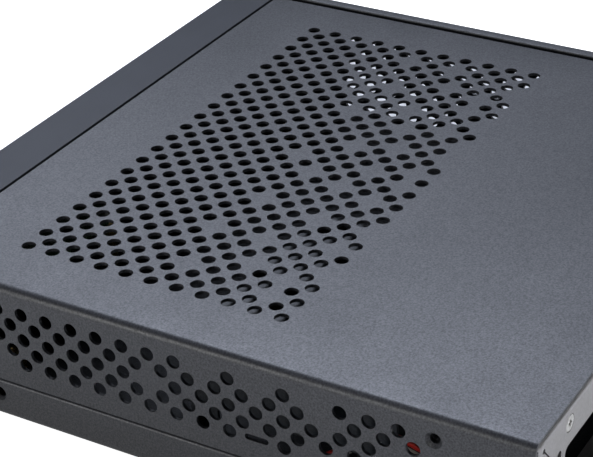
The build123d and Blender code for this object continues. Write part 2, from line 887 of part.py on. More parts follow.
tongue_rear = usb_front + usb_length - usb_wall
with BuildPart() as usb_tongues:
    with BuildSketch(at_front(tongue_rear)):
        with Locations(usb_places):
            Rectangle(
                usb_width - 2 * (usb_wall + tongue_clearance),
                usb_height - 2 * (usb_wall + tongue_clearance),
            )
    extrude(amount=tongue_root)
    with BuildSketch(at_front(tongue_rear - tongue_root)):
        with Locations([(x, z + tongue_rise) for x, z in usb_places]):
            Rectangle(tongue_width, tongue_height)
    extrude(amount=tongue_reach)
save(usb_tongues, "usb_tongues")

# Power button: a dished cap, a collar that stays behind the bezel, and a stem
button_front = y_front + button_recess
button_back = button_front + button_length
collar_front = button_back - button_collar_length
stem_back = button_back + button_stem_length
button_axis = Axis((button_place[0], 0, button_place[1]), (0, 1, 0))
with BuildPart() as power_button:
    with BuildSketch(Plane(origin=button_axis.position)) as button_half:
        with BuildLine():
            Polyline(
                (button_radius, button_front),
                (button_radius, collar_front),
                (button_collar_radius, collar_front),
                (button_collar_radius, button_back),
                (button_stem_radius, button_back),
                (button_stem_radius, stem_back),
                (0, stem_back),
                (0, button_front + button_dish),
            )
            ThreePointArc(
                (0, button_front + button_dish),
                (button_radius / 2, button_front + button_dish * 0.75),
                (button_radius, button_front),
            )
        make_face()
        round_corner(button_half, (button_radius, button_front), button_dish)
    revolve(axis=button_axis)
save(power_button, "power_button")

# Push switch on the board, with the plunger that the button moves
switch_front = stem_back + plunger_reach
plunger_bore_depth = plunger_length - plunger_reach + button_travel + plunger_end_gap
with BuildPart() as power_switch:
    with BuildSketch(at_front(switch_front)):
        with Locations((button_place[0], front_board_top + switch_size / 2)):
            Rectangle(switch_size, switch_size)
    extrude(amount=-switch_depth)
    with BuildSketch(at_front(switch_front)):
        with Locations(button_place):
            Circle(plunger_bore_radius)
    extrude(amount=-plunger_bore_depth, mode=Mode.SUBTRACT)
save(power_switch, "power_switch")

with BuildPart() as switch_plunger:
    with BuildSketch(at_front(stem_back)):
        with Locations(button_place):
            Circle(plunger_radius)
    extrude(amount=-plunger_length)
    chamfer(switch_plunger.faces().sort_by(Axis.Y)[-1].edges(), length=screw_fit)
save(switch_plunger, "switch_plunger")

# Light pipe behind the bezel, and the indicator on the board that shines into it
light_front = y_front + light_recess
light_back = light_front + light_length
light_collar_front = y_front + bezel_wall + button_recess
with BuildPart() as light_pipe:
    with BuildSketch(at_front(light_front)):
        with Locations(light_place):
            Circle(light_radius)
    extrude(amount=-light_length)
    fillet(light_pipe.faces().sort_by(Axis.Y)[0].edges(), radius=light_radius / 3)
    with BuildSketch(at_front(light_collar_front)):
        with Locations(light_place):
            Circle(light_collar_radius)
    extrude(amount=-light_collar_length)
save(light_pipe, "light_pipe")

led_front = light_back + led_gap
with BuildPart() as indicator_led:
    with BuildSketch(at_front(led_front + led_nose)):
        with Locations((light_place[0], front_board_top)):
            Rectangle(led_size, led_height, align=(Align.CENTER, Align.MIN))
    extrude(amount=-led_size)
    with BuildSketch(at_front(led_front + led_nose)):
        with Locations(light_place):
            Circle(light_radius)
    extrude(amount=led_nose)
    fillet(indicator_led.faces().sort_by(Axis.Y)[0].edges(), radius=led_nose / 2)
save(indicator_led, "indicator_led")

# Header at the board's rear edge, with two pins towards the rear
header_x = board_near - header_inset
header_z = front_board_top + header_size / 2
header_back = board_back - header_set_back
pin_places = [(header_x + side * wire_pitch / 2, header_z) for side in (-1, 1)]
with BuildPart() as lead_header:
    with BuildSketch(at_front(header_back)):
        with Locations((header_x, header_z)):
            Rectangle(2 * wire_pitch, header_size)
    extrude(amount=header_size)
    with BuildSketch(at_front(header_back)):
        with Locations(pin_places):
            Rectangle(pin_size, pin_size)
    extrude(amount=-pin_length)
save(lead_header, "lead_header")

# Socket on the header: square bores for the pins and round ones for the wires
with BuildPart() as lead_socket:
    with BuildSketch(at_front(header_back)):
        with Locations((header_x, header_z)):
            Rectangle(2 * wire_pitch, header_size)
    extrude(amount=-socket_length)
    with BuildSketch(at_front(header_back)):
        with Locations(pin_places):
            Rectangle(pin_size + 2 * pin_clearance, pin_size + 2 * pin_clearance)
    extrude(amount=-pin_bore_depth, mode=Mode.SUBTRACT)
    with BuildSketch(at_front(header_back + socket_length)):
        with Locations(pin_places):
            Circle(wire_radius + wire_clearance)
    extrude(amount=wire_bore_depth, mode=Mode.SUBTRACT)
save(lead_socket, "lead_socket")

# Plug at the lead's other end, its two wires one above the other
plug_x = x_flange - sheet - plug_side_inset
plug_front = y_rear - plug_rear_inset
plug_places = [(plug_x, plug_z + side * wire_pitch / 2) for side in (1, -1)]
with BuildPart() as lead_plug:
    with BuildSketch(at_front(plug_front)):
        with Locations((plug_x, plug_z)):
            Rectangle(header_size, 2 * wire_pitch)
    extrude(amount=-plug_length)
    with BuildSketch(at_front(plug_front)):
        with Locations(plug_places):
            Circle(wire_radius + wire_clearance)
    extrude(amount=-wire_bore_depth, mode=Mode.SUBTRACT)
    with BuildSketch(at_front(plug_front + plug_length)):
        with Locations(plug_places):
            Rectangle(pin_size + 2 * pin_clearance, pin_size + 2 * pin_clearance)
    extrude(amount=pin_bore_depth, mode=Mode.SUBTRACT)
save(lead_plug, "lead_plug")

# The two wires, from the socket along the tray's near side and up to the plug
wire_start = header_back + socket_length - wire_bore_depth + wire_clearance
wire_end = plug_front + wire_bore_depth - wire_clearance
red_route = [
    (pin_places[1][0], wire_start, header_z),
    (pin_places[1][0], -69.5, header_z),
    (96.0, -59.5, 9.6),
    (96.0, -40.0, 9.0),
    (96.0, 16.0, 9.0),
    (96.8, 37.0, 14.5),
    (97.4, 58.0, 33.2),
    (plug_x, 72.5, plug_places[0][1]),
    (plug_x, wire_end, plug_places[0][1]),
]
white_route = [
    (pin_places[0][0], wire_start, header_z),
    (pin_places[0][0], -70.0, header_z),
    (93.4, -60.5, 9.6),
    (93.4, -42.0, 9.0),
    (93.4, 15.0, 9.0),
    (94.4, 37.0, 11.8),
    (97.4, 58.0, 31.0),
    (plug_x, 72.5, plug_places[1][1]),
    (plug_x, wire_end, plug_places[1][1]),
]


def bend_radii(route):
    """Give the largest arc that each corner's shorter run allows."""
    radii = []
    for before, corner, after in zip(route, route[1:], route[2:]):
        arrive = Vector(corner) - Vector(before)
        leave = Vector(after) - Vector(corner)
        half_turn = Vector.get_angle(arrive, leave) / 2
        shorter = min(arrive.length, leave.length)
        radii.append(0.45 * shorter / tan(radians(half_turn)))
    return radii


for wire_label, route in (("lead_red", red_route), ("lead_white", white_route)):
    with BuildPart() as wire:
        with BuildLine() as wire_path:
            FilletPolyline(*route, radius=bend_radii(route))
        with BuildSketch(Plane(origin=route[0], z_dir=(0, 1, 0))):
            Circle(wire_radius)
        sweep()
    save(wire, wire_label)
    tube_share = wire.part.volume / (pi * wire_radius**2 * wire_path.wires()[0].length)
    print(wire_label, "radii", [round(r, 1) for r in bend_radii(route)])
    print(wire_label, "length", round(wire_path.wires()[0].length, 1), "volume share", round(tube_share, 4))

# Saddle clips on the tray's floor, with a bore for each wire
clip_middle_x = (red_route[4][0] + white_route[4][0]) / 2
with BuildPart() as lead_clips:
    for clip_y in clip_places:
        with BuildSketch(at_front(clip_y + clip_width / 2)) as clip_face:
            with Locations((clip_middle_x, z_floor)):
                Rectangle(
                    wire_pitch + 2 * (wire_radius + 2 * clip_wall),
                    clip_height,
                    align=(Align.CENTER, Align.MIN),
                )
            fillet(clip_face.vertices().group_by(Axis.Y)[-1], radius=2 * clip_wall)
            with Locations([(route[4][0], route[4][2]) for route in (red_route, white_route)]):
                Circle(wire_radius + wire_clearance, mode=Mode.SUBTRACT)
        extrude(amount=clip_width)
save(lead_clips, "lead_clips")

# Clip on the tray's near tab that holds the plug
clip_far = plug_x - header_size / 2 - wire_clearance - clip_wall
with BuildPart() as plug_clip:
    with BuildSketch(at_front(plug_front + plug_length / 2 + clip_width / 2)):
        with Locations((clip_far, plug_z)):
            Rectangle(
                x_flange - sheet - clip_far,
                2 * (wire_pitch + wire_clearance + clip_wall),
                align=(Align.MIN, Align.CENTER),
            )
        with Locations((plug_x, plug_z)):
            Rectangle(
                header_size + 2 * wire_clearance,
                2 * (wire_pitch + wire_clearance),
                mode=Mode.SUBTRACT,
            )
    extrude(amount=clip_width)
save(plug_clip, "plug_clip")
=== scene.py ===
"""Dress the thin board case: its coats, bare metal, plastics and small fittings.

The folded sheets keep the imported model's form and get broken edges. The small fittings are
modelled here at the places of the solids that they stand for. All sizes are in metres.
"""

from __future__ import annotations

import json
import logging
import math
from collections.abc import Callable, Iterator
from contextlib import contextmanager
from dataclasses import dataclass, field
from enum import Enum
from typing import ClassVar

import bmesh
import bpy
from mathutils import Matrix, Vector

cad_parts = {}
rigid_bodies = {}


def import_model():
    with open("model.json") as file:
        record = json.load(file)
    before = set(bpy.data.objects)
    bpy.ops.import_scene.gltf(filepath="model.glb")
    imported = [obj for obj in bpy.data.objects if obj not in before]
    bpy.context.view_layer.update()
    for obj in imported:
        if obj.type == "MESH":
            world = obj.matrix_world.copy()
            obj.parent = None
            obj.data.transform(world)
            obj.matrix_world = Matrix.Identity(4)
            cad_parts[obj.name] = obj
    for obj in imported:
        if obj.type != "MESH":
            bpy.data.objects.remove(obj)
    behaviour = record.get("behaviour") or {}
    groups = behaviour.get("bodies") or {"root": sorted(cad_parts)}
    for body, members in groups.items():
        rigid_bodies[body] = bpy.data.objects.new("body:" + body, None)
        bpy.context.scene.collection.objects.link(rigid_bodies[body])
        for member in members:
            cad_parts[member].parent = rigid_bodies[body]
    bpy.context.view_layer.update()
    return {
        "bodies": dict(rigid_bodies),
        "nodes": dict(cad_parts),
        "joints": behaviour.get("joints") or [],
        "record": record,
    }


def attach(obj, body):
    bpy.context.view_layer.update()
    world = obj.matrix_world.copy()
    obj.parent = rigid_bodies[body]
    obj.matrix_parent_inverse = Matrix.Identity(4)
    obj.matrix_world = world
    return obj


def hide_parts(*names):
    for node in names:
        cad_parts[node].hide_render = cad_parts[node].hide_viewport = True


LOG = logging.getLogger("thin_case")
CASE = "case"
BUTTON = "button"
MM = 0.001
MERGE_DISTANCE = 0.002 * MM
FLAT_ANGLE = 0.3
FACING = 0.9
PLAIN = (1.0, 1.0, 1.0)
DARK_END = 0.3
LIGHT_END = 0.7

Piece = bpy.types.Object
Value = bpy.types.NodeSocket
Pair = tuple[float, float]
Triple = tuple[float, float, float]
Colour = Triple


class Axis(Enum):
    """The directions that fittings point in, as unit vectors of the case's own frame."""

    FAR = (-1.0, 0.0, 0.0)
    REAR = (0.0, 1.0, 0.0)
    FRONT = (0.0, -1.0, 0.0)
    UP = (0.0, 0.0, 1.0)
    DOWN = (0.0, 0.0, -1.0)

    @property
    def vector(self) -> Vector:
        """Give the direction as a vector."""
        return Vector(self.value)

    @property
    def turn(self) -> Matrix:
        """Give the turn that takes +Z to this direction."""
        return self.vector.to_track_quat("Z", "Y").to_matrix().to_4x4()


# Modelling helpers


def only(piece: Piece) -> None:
    """Make one object the only one that is selected, and the active one.

    Args:
        piece: The object that the next operator works on.
    """
    bpy.ops.object.select_all(action="DESELECT")
    piece.select_set(True)
    bpy.context.view_layer.objects.active = piece


@contextmanager
def editing(piece: Piece) -> Iterator[bmesh.types.BMesh]:
    """Open an object in edit mode with nothing selected.

    Args:
        piece: The mesh object to edit.

    Yields:
        The edit mesh, whose faces and edges are then selected in code.
    """
    only(piece)
    bpy.ops.object.mode_set(mode="EDIT")
    bpy.ops.mesh.select_all(action="DESELECT")
    yield bmesh.from_edit_mesh(piece.data)
    bpy.ops.object.mode_set(mode="OBJECT")


def pick_faces(mesh: bmesh.types.BMesh, wanted: Callable[[bmesh.types.BMFace], bool]) -> int:
    """Select the faces that pass a test, and no others.

    Args:
        mesh: The mesh that is open in edit mode.
        wanted: The test.

    Returns:
        How many faces are selected.
    """
    bpy.ops.mesh.select_mode(type="FACE")
    bpy.ops.mesh.select_all(action="DESELECT")
    mesh.faces.ensure_lookup_table()
    for face in mesh.faces:
        face.select_set(wanted(face))
    bmesh.update_edit_mesh(bpy.context.edit_object.data)
    return sum(face.select for face in mesh.faces)


def press_modifier(piece: Piece, kind: str, **settings: object) -> None:
    """Add a modifier with its settings and apply it.

    Args:
        piece: The object that gets it.
        kind: The modifier's type, as Blender names it.
        **settings: Values for the modifier's own properties.
    """
    only(piece)
    modifier = piece.modifiers.new(kind.lower(), kind)
    for name, value in settings.items():
        setattr(modifier, name, value)
    bpy.ops.object.modifier_apply(modifier=modifier.name)


def smooth(piece: Piece, angle: float = 30.0) -> None:
    """Shade a piece smooth, apart from edges sharper than an angle in degrees."""
    only(piece)
    bpy.ops.object.shade_smooth_by_angle(angle=math.radians(angle))


def settle(piece: Piece, place: Matrix | None = None) -> None:
    """Put a piece in its place and leave its object at the origin, unturned and unscaled.

    Args:
        piece: The object to place.
        place: Where it goes, or None if its mesh is already there.
    """
    bpy.context.view_layer.update()
    piece.data.transform((place or Matrix.Identity(4)) @ piece.matrix_world)
    piece.matrix_world = Matrix.Identity(4)


def join(pieces: list[Piece], name: str) -> Piece:
    """Join finished pieces into one.

    Args:
        pieces: What to join.
        name: The joined piece's name.

    Returns:
        The joined piece.
    """
    bpy.ops.object.select_all(action="DESELECT")
    for piece in pieces:
        piece.select_set(True)
    bpy.context.view_layer.objects.active = pieces[0]
    if len(pieces) > 1:
        bpy.ops.object.join()
    pieces[0].name = name
    pieces[0].data.name = name
    return pieces[0]


def set_out(pattern: Piece, places: list[Matrix], name: str) -> Piece:
    """Copy a finished pattern to each place and join the copies into one piece.

    Args:
        pattern: The finished pattern, modelled at the origin.
        places: One placement for each copy.
        name: The joined piece's name.

    Returns:
        The joined piece.
    """
    copies = []
    for place in places:
        copy = pattern.copy()
        copy.data = pattern.data.copy()
        copy.data.transform(place)
        bpy.context.collection.objects.link(copy)
        copies.append(copy)
    bpy.data.objects.remove(pattern)
    return join(copies, name)


def merged_copy(node: str, name: str) -> Piece:
    """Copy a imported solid's mesh and join its loose triangles.

    Args:
        node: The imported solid's name.
        name: The copy's name.

    Returns:
        The copy, with its flat faces whole again.
    """
    source = bpy.data.objects[node]
    copy = bpy.data.objects.new(name, source.data.copy())
    copy.data.name = name
    copy.data.materials.clear()
    bpy.context.collection.objects.link(copy)
    only(copy)
    bpy.ops.mesh.customdata_custom_splitnormals_clear()
    with editing(copy):
        bpy.ops.mesh.select_all(action="SELECT")
        bpy.ops.mesh.remove_doubles(threshold=MERGE_DISTANCE)
        bpy.ops.mesh.dissolve_limited(angle_limit=math.radians(FLAT_ANGLE))
    return copy


def solid_boxes(node: str) -> list[tuple[Vector, Vector]]:
    """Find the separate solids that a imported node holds.

    Args:
        node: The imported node's name.

    Returns:
        Each solid's lowest and highest corner, in the order of their centres.
    """
    mesh = bmesh.new()
    mesh.from_mesh(bpy.data.objects[node].data)
    bmesh.ops.remove_doubles(mesh, verts=mesh.verts, dist=MERGE_DISTANCE)
    left = set(mesh.verts)
    boxes = []
    while left:
        front = [left.pop()]
        members = list(front)
        while front:
            vertex = front.pop()
            for edge in vertex.link_edges:
                other = edge.other_vert(vertex)
                if other in left:
                    left.discard(other)
                    front.append(other)
                    members.append(other)
        low = Vector([min(v.co[i] for v in members) for i in range(3)])
        high = Vector([max(v.co[i] for v in members) for i in range(3)])
        boxes.append((low, high))
    mesh.free()
    return sorted(boxes, key=lambda box: tuple(round(x, 4) for x in box[0] + box[1]))


def turned(
    name: str, profile: list[Pair], steps: int = 40, hollow: bool = False
) -> Piece:
    """Turn a profile about Z, by extruding and scaling one ring after another.

    Args:
        name: The new piece's name.
        profile: Radius and height of each ring, from one end to the other.
        steps: How many sides each ring has.
        hollow: Whether the profile closes on itself and leaves the middle open.

    Returns:
        The closed piece.
    """
    radius, height = profile[0]
    bpy.ops.mesh.primitive_circle_add(
        vertices=steps,
        radius=radius,
        fill_type="NOTHING" if hollow else "NGON",
        location=(0.0, 0.0, height),
    )
    piece = bpy.context.object
    piece.name = name
    with editing(piece):
        bpy.ops.mesh.select_mode(type="VERT")
        bpy.ops.mesh.select_all(action="SELECT")
        for next_radius, next_height in profile[1:]:
            bpy.ops.mesh.extrude_region_move(
                TRANSFORM_OT_translate={"value": (0.0, 0.0, next_height - height)}
            )
            scale = next_radius / radius
            bpy.ops.transform.resize(value=(scale, scale, 1.0))
            radius, height = next_radius, next_height
        bpy.ops.mesh.select_all(action="SELECT")
        bpy.ops.mesh.remove_doubles(threshold=MERGE_DISTANCE)
        bpy.ops.mesh.normals_make_consistent(inside=False)
    settle(piece)
    return piece


def head_place(box: tuple[Vector, Vector], out: Axis) -> Matrix:
    """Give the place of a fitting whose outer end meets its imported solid's outer face.

    Args:
        box: The solid's lowest and highest corner.
        out: The way that its outer end points.

    Returns:
        The placement of a pattern that is modelled at the origin.
    """
    low, high = box
    middle = (low + high) / 2
    half = abs((high - low).dot(out.vector)) / 2
    return Matrix.Translation(middle + out.vector * half) @ out.turn


@dataclass(frozen=True)
class Thread:
    """A thread: its ridges' radius, its grooves' depth and its pitch."""

    radius: float
    depth: float
    pitch: float
    ridge_at: float = 0.35
    groove_at: float = 0.85

    @property
    def root(self) -> float:
        """Give the radius at the bottom of the grooves."""
        return self.radius - self.depth

    def rings(self, start: float, end: float) -> list[Pair]:
        """Give the thread's rings between two heights.

        Args:
            start: The height that it starts from.
            end: The height that it runs to.

        Returns:
            Radius and height of each ring.
        """
        turns = max(1, int(abs(end - start) / self.pitch))
        step = (end - start) / turns
        rings = []
        for turn in range(turns):
            rings.append((self.radius, start + step * (turn + self.ridge_at)))
            rings.append((self.root, start + step * (turn + self.groove_at)))
        return [*rings, (self.root, end)]


def block(name: str, low: Vector, high: Vector) -> Piece:
    """Add a block between two corners.

    Args:
        name: The new piece's name.
        low: The lowest corner.
        high: The highest corner.

    Returns:
        The block, for a modifier or a cut to shape further.
    """
    bpy.ops.mesh.primitive_cube_add(size=1.0, location=(low + high) / 2)
    piece = bpy.context.object
    piece.name = name
    piece.scale = high - low
    settle(piece)
    return piece


def combine(piece: Piece, tool: Piece, operation: str) -> None:
    """Cut or trim a piece with a tool, and drop the tool.

    Args:
        piece: What is cut.
        tool: What cuts it.
        operation: DIFFERENCE or INTERSECT.
    """
    press_modifier(piece, "BOOLEAN", operation=operation, solver="EXACT", object=tool)
    bpy.data.objects.remove(tool)


@dataclass(frozen=True)
class Cross:
    """The cross recess of a screw's head, which narrows with its depth."""

    reach: float
    width: float
    depth: float = 1.1 * MM
    narrowing: float = 0.45

    def sink(self, screw: Piece, top: float) -> None:
        """Cut the cross into a screw."""
        for size in ((self.reach, self.width / 2), (self.width / 2, self.reach)):
            half = Vector((*size, self.depth))
            bar = block("recess_bar", Vector((0, 0, top)) - half, Vector((0, 0, top)) + half)
            with editing(bar) as mesh:
                pick_faces(mesh, lambda face: face.normal.z < -FACING)
                bpy.ops.transform.resize(value=(self.narrowing, self.narrowing, 1.0))
            combine(screw, bar, "DIFFERENCE")


def bevel(
    piece: Piece, width: float, segments: int = 2, angle: float = 30.0
) -> None:
    """Break a piece's sharp edges.

    Args:
        piece: The piece.
        width: How wide the broken edges are.
        segments: How many faces each of them gets.
        angle: How sharp an edge has to be, in degrees.
    """
    press_modifier(
        piece,
        "BEVEL",
        width=width,
        segments=segments,
        limit_method="ANGLE",
        angle_limit=math.radians(angle),
    )


# Finishes


class Bench:
    """Builds one material's nodes, left to right, on Object coordinates."""

    def __init__(self, name: str) -> None:
        """Start a material with a Principled shader.

        Args:
            name: The material's name.
        """
        self.material = bpy.data.materials.new(name)
        self.material.use_nodes = True
        self.tree = self.material.node_tree
        self.shader = self.tree.nodes["Principled BSDF"]
        self.place = self.tree.nodes.new("ShaderNodeTexCoord").outputs["Object"]

    def feed(self, socket: Value, value: object) -> None:
        """Set a socket to a value, or link another socket to it."""
        if isinstance(value, Value):
            self.tree.links.new(value, socket)
        else:
            socket.default_value = value

    def fill(self, node: bpy.types.Node, **inputs: object) -> None:
        """Fill a node's inputs.

        Args:
            node: The node.
            **inputs: Input names with underscores for spaces, each with a value or a socket.
        """
        for name, value in inputs.items():
            self.feed(node.inputs[name.replace("_", " ")], value)

    def node(self, kind: str, **inputs: object) -> bpy.types.Node:
        """Add a node and fill its inputs.

        Args:
            kind: The node's type without its ShaderNode prefix.
            **inputs: As for fill.

        Returns:
            The new node.
        """
        made = self.tree.nodes.new("ShaderNode" + kind)
        self.fill(made, **inputs)
        return made

    def stretched(self, scale: Triple) -> Value:
        """Give Object coordinates scaled along each axis, for a pattern with a direction."""
        return self.node("Mapping", Vector=self.place, Scale=scale).outputs["Vector"]

    def noise(
        self,
        grain: float,
        detail: float = 2.0,
        rough: float = 0.5,
        place: Value | None = None,
    ) -> Value:
        """Add a noise pattern.

        Args:
            grain: The size of one grain, in metres.
            detail: How many finer layers it has.
            rough: How strong the finer layers are.
            place: The coordinates it reads, or None for plain Object coordinates.

        Returns:
            The pattern's value, about 0.5 on average.
        """
        made = self.node(
            "TexNoise",
            Vector=place or self.place,
            Scale=1.0 / grain,
            Detail=detail,
            Roughness=rough,
        )
        return made.outputs["Fac"]

    def spread(
        self,
        pattern: Value,
        low: object,
        high: object,
        start: float = DARK_END,
        end: float = LIGHT_END,
    ) -> Value:
        """Map a pattern's range on to other values.

        Args:
            pattern: The pattern to map.
            low: The value or socket at start.
            high: The value or socket at end.
            start: The pattern's value that gives low.
            end: The pattern's value that gives high.

        Returns:
            The mapped value.
        """
        made = self.node(
            "MapRange", Value=pattern, From_Min=start, From_Max=end, To_Min=low, To_Max=high
        )
        return made.outputs["Result"]

    def ramp(
        self, pattern: Value, *stops: tuple[float, Colour]
    ) -> Value:
        """Colour a pattern.

        Args:
            pattern: The pattern.
            *stops: Pairs of its value and the colour there.

        Returns:
            The colours.
        """
        made = self.node("ValToRGB", Fac=pattern)
        elements = made.color_ramp.elements
        while len(elements) < len(stops):
            elements.new(0.5)
        for element, (position, colour) in zip(elements, stops):
            element.position = position
            element.color = (*colour, 1.0)
        return made.outputs["Color"]

    def blend(
        self, pattern: Value, dark: Colour, light: Colour
    ) -> Value:
        """Colour a noise pattern from dark to light over its usual range."""
        return self.ramp(pattern, (DARK_END, dark), (LIGHT_END, light))

    def math(self, operation: str, first: object, second: object) -> Value:
        """Combine two values."""
        made = self.tree.nodes.new("ShaderNodeMath")
        made.operation = operation
        self.feed(made.inputs[0], first)
        self.feed(made.inputs[1], second)
        return made.outputs[0]

    def shade(
        self, colour: Value, over: Value
    ) -> Value:
        """Multiply one colour pattern by another."""
        made = self.tree.nodes.new("ShaderNodeMix")
        made.data_type = "RGBA"
        made.blend_type = "MULTIPLY"
        made.inputs["Factor"].default_value = 1.0
        self.tree.links.new(colour, made.inputs["A"])
        self.tree.links.new(over, made.inputs["B"])
        return made.outputs["Result"]

    def bump(self, height: Value, depth: float) -> None:
        """Raise the surface by a pattern, up to a depth in metres."""
        made = self.node("Bump", Height=height, Distance=depth)
        self.fill(self.shader, Normal=made.outputs["Normal"])


def tint(colour: Colour, factor: float) -> Colour:
    """Scale a colour's brightness."""
    return tuple(min(1.0, channel * factor) for channel in colour)


@dataclass(frozen=True)
class Finish:
    """A named finish, drawn with a bench's nodes."""

    name: str

    def draw(self, bench: Bench) -> None:
        """Draw the finish on a bench."""
        raise NotImplementedError

    def material(self) -> bpy.types.Material:
        """Build the finish's material."""
        bench = Bench(self.name)
        self.draw(bench)
        return bench.material


@dataclass(frozen=True)
class GrainedCoat(Finish):
    """A baked powder coat: a dark ground with fine lighter grains and a pebbled surface."""

    colour: Colour
    contrast: float = 0.16
    grain: float = 0.55 * MM
    roughness: float = 0.44
    pebble: float = 0.010 * MM
    specular: float = 0.5
    sparkle: float = 0.24
    cloud_size: float = 14 * MM
    cloud_shade: float = 0.955
    unevenness: float = 0.03

    def draw(self, bench: Bench) -> None:
        """Draw the coat on a bench."""
        grains = bench.noise(self.grain, detail=3.0, rough=0.65)
        cloud = bench.noise(self.cloud_size, detail=3.0)
        ground = bench.ramp(
            grains,
            (0.30, tint(self.colour, 1.0 - self.contrast)),
            (0.52, self.colour),
            (0.72, tint(self.colour, 1.0 + 1.6 * self.contrast)),
        )
        mottled = bench.blend(cloud, tint(PLAIN, self.cloud_shade), PLAIN)
        rough = self.roughness
        shine = self.specular
        bench.fill(
            bench.shader,
            Base_Color=bench.shade(ground, mottled),
            Roughness=bench.spread(cloud, rough - self.unevenness, rough + self.unevenness),
            Specular_IOR_Level=bench.spread(grains, shine - self.sparkle, shine + self.sparkle),
        )
        bench.bump(bench.noise(self.grain * 1.3), self.pebble)


@dataclass(frozen=True)
class RolledSteel(Finish):
    """Bare sheet steel with a plated, faintly rolled surface."""

    colour: Colour = (0.40, 0.39, 0.385)
    bloom: Colour = (0.93, 0.93, 0.94)
    roughness: float = 0.34
    roll: Triple = (1.0, 12.0, 1.0)
    streak: float = 0.8 * MM
    spangle: float = 3.5 * MM

    def draw(self, bench: Bench) -> None:
        """Draw the steel on a bench."""
        streaks = bench.noise(self.streak, detail=4.0, place=bench.stretched(self.roll))
        spangle = bench.noise(self.spangle, detail=3.0, rough=0.7)
        base = bench.blend(streaks, tint(self.colour, 0.90), tint(self.colour, 1.08))
        bench.fill(
            bench.shader,
            Base_Color=bench.shade(base, bench.blend(spangle, self.bloom, PLAIN)),
            Roughness=bench.spread(spangle, self.roughness - 0.06, self.roughness + 0.08),
            Metallic=0.85,
        )
        bench.bump(streaks, 0.004 * MM)


@dataclass(frozen=True)
class Mottled(Finish):
    """Metal, plastic or rubber whose colour and roughness vary with two noises.

    Each noise is a grain's size, then its detail and its roughness where they aren't usual.
    """

    colour: Colour
    roughness: Pair
    shades: Pair
    patch: tuple[float, ...]
    grain: tuple[float, ...]
    depth: float = 0.0
    relief: tuple[float, ...] = ()
    ends: Pair = (DARK_END, LIGHT_END)
    settings: tuple[tuple[str, float], ...] = ()

    def draw(self, bench: Bench) -> None:
        """Draw the surface on a bench."""
        grain = bench.noise(*self.grain)
        stops = [(end, tint(self.colour, share)) for end, share in zip(self.ends, self.shades)]
        bench.fill(
            bench.shader,
            Base_Color=bench.ramp(bench.noise(*self.patch), *stops),
            Roughness=bench.spread(grain, *self.roughness),
            **dict(self.settings),
        )
        if self.depth:
            bench.bump(bench.noise(*self.relief) if self.relief else grain, self.depth)


def metal(name: str, colour: Colour, rough: float = 0.28) -> Mottled:
    """Give the metal of small turned or stamped parts, with stains and fine scratches."""
    return Mottled(
        name,
        colour,
        roughness=(rough - 0.08, rough + 0.14),
        shades=(0.82, 1.06),
        patch=(1.8 * MM,),
        grain=(0.25 * MM, 4.0, 0.7),
        depth=0.003 * MM,
        settings=(("Metallic", 1.0),),
    )


def plastic(
    name: str, colour: Colour, rough: float = 0.42, variation: float = 0.07, shine: float = 0.5
) -> Mottled:
    """Give a moulded plastic, with flow marks and a fine spark-eroded texture."""
    return Mottled(
        name,
        colour,
        roughness=(rough - 0.04, rough + 0.05),
        shades=(1.0 - variation, 1.0 + variation),
        patch=(22 * MM,),
        grain=(0.22 * MM,),
        depth=0.004 * MM,
        settings=(("Specular_IOR_Level", shine),),
    )


@dataclass(frozen=True)
class LacqueredBoard(Finish):
    """Green lacquer over copper: tracks and filled areas show as a lighter green."""

    lacquer: Colour = (0.016, 0.050, 0.022)
    track: Colour = (0.034, 0.082, 0.036)
    lane: float = 2.6 * MM
    weave: float = 0.5 * MM

    def draw(self, bench: Bench) -> None:
        """Draw the board on a bench."""
        lanes = bench.node(
            "TexVoronoi", Vector=bench.stretched((1.0, 2.6, 1.0)), Scale=1.0 / self.lane
        )
        lanes.distance = "CHEBYCHEV"
        lanes.feature = "F1"
        paths = bench.ramp(
            lanes.outputs["Distance"],
            (0.34, self.track),
            (0.38, self.lacquer),
            (0.62, self.lacquer),
            (0.66, self.track),
        )
        weave = bench.noise(self.weave)
        bench.fill(
            bench.shader,
            Base_Color=bench.shade(paths, bench.blend(weave, tint(PLAIN, 0.9), PLAIN)),
            Roughness=bench.spread(weave, 0.22, 0.36),
        )
        bench.bump(lanes.outputs["Distance"], 0.02 * MM)


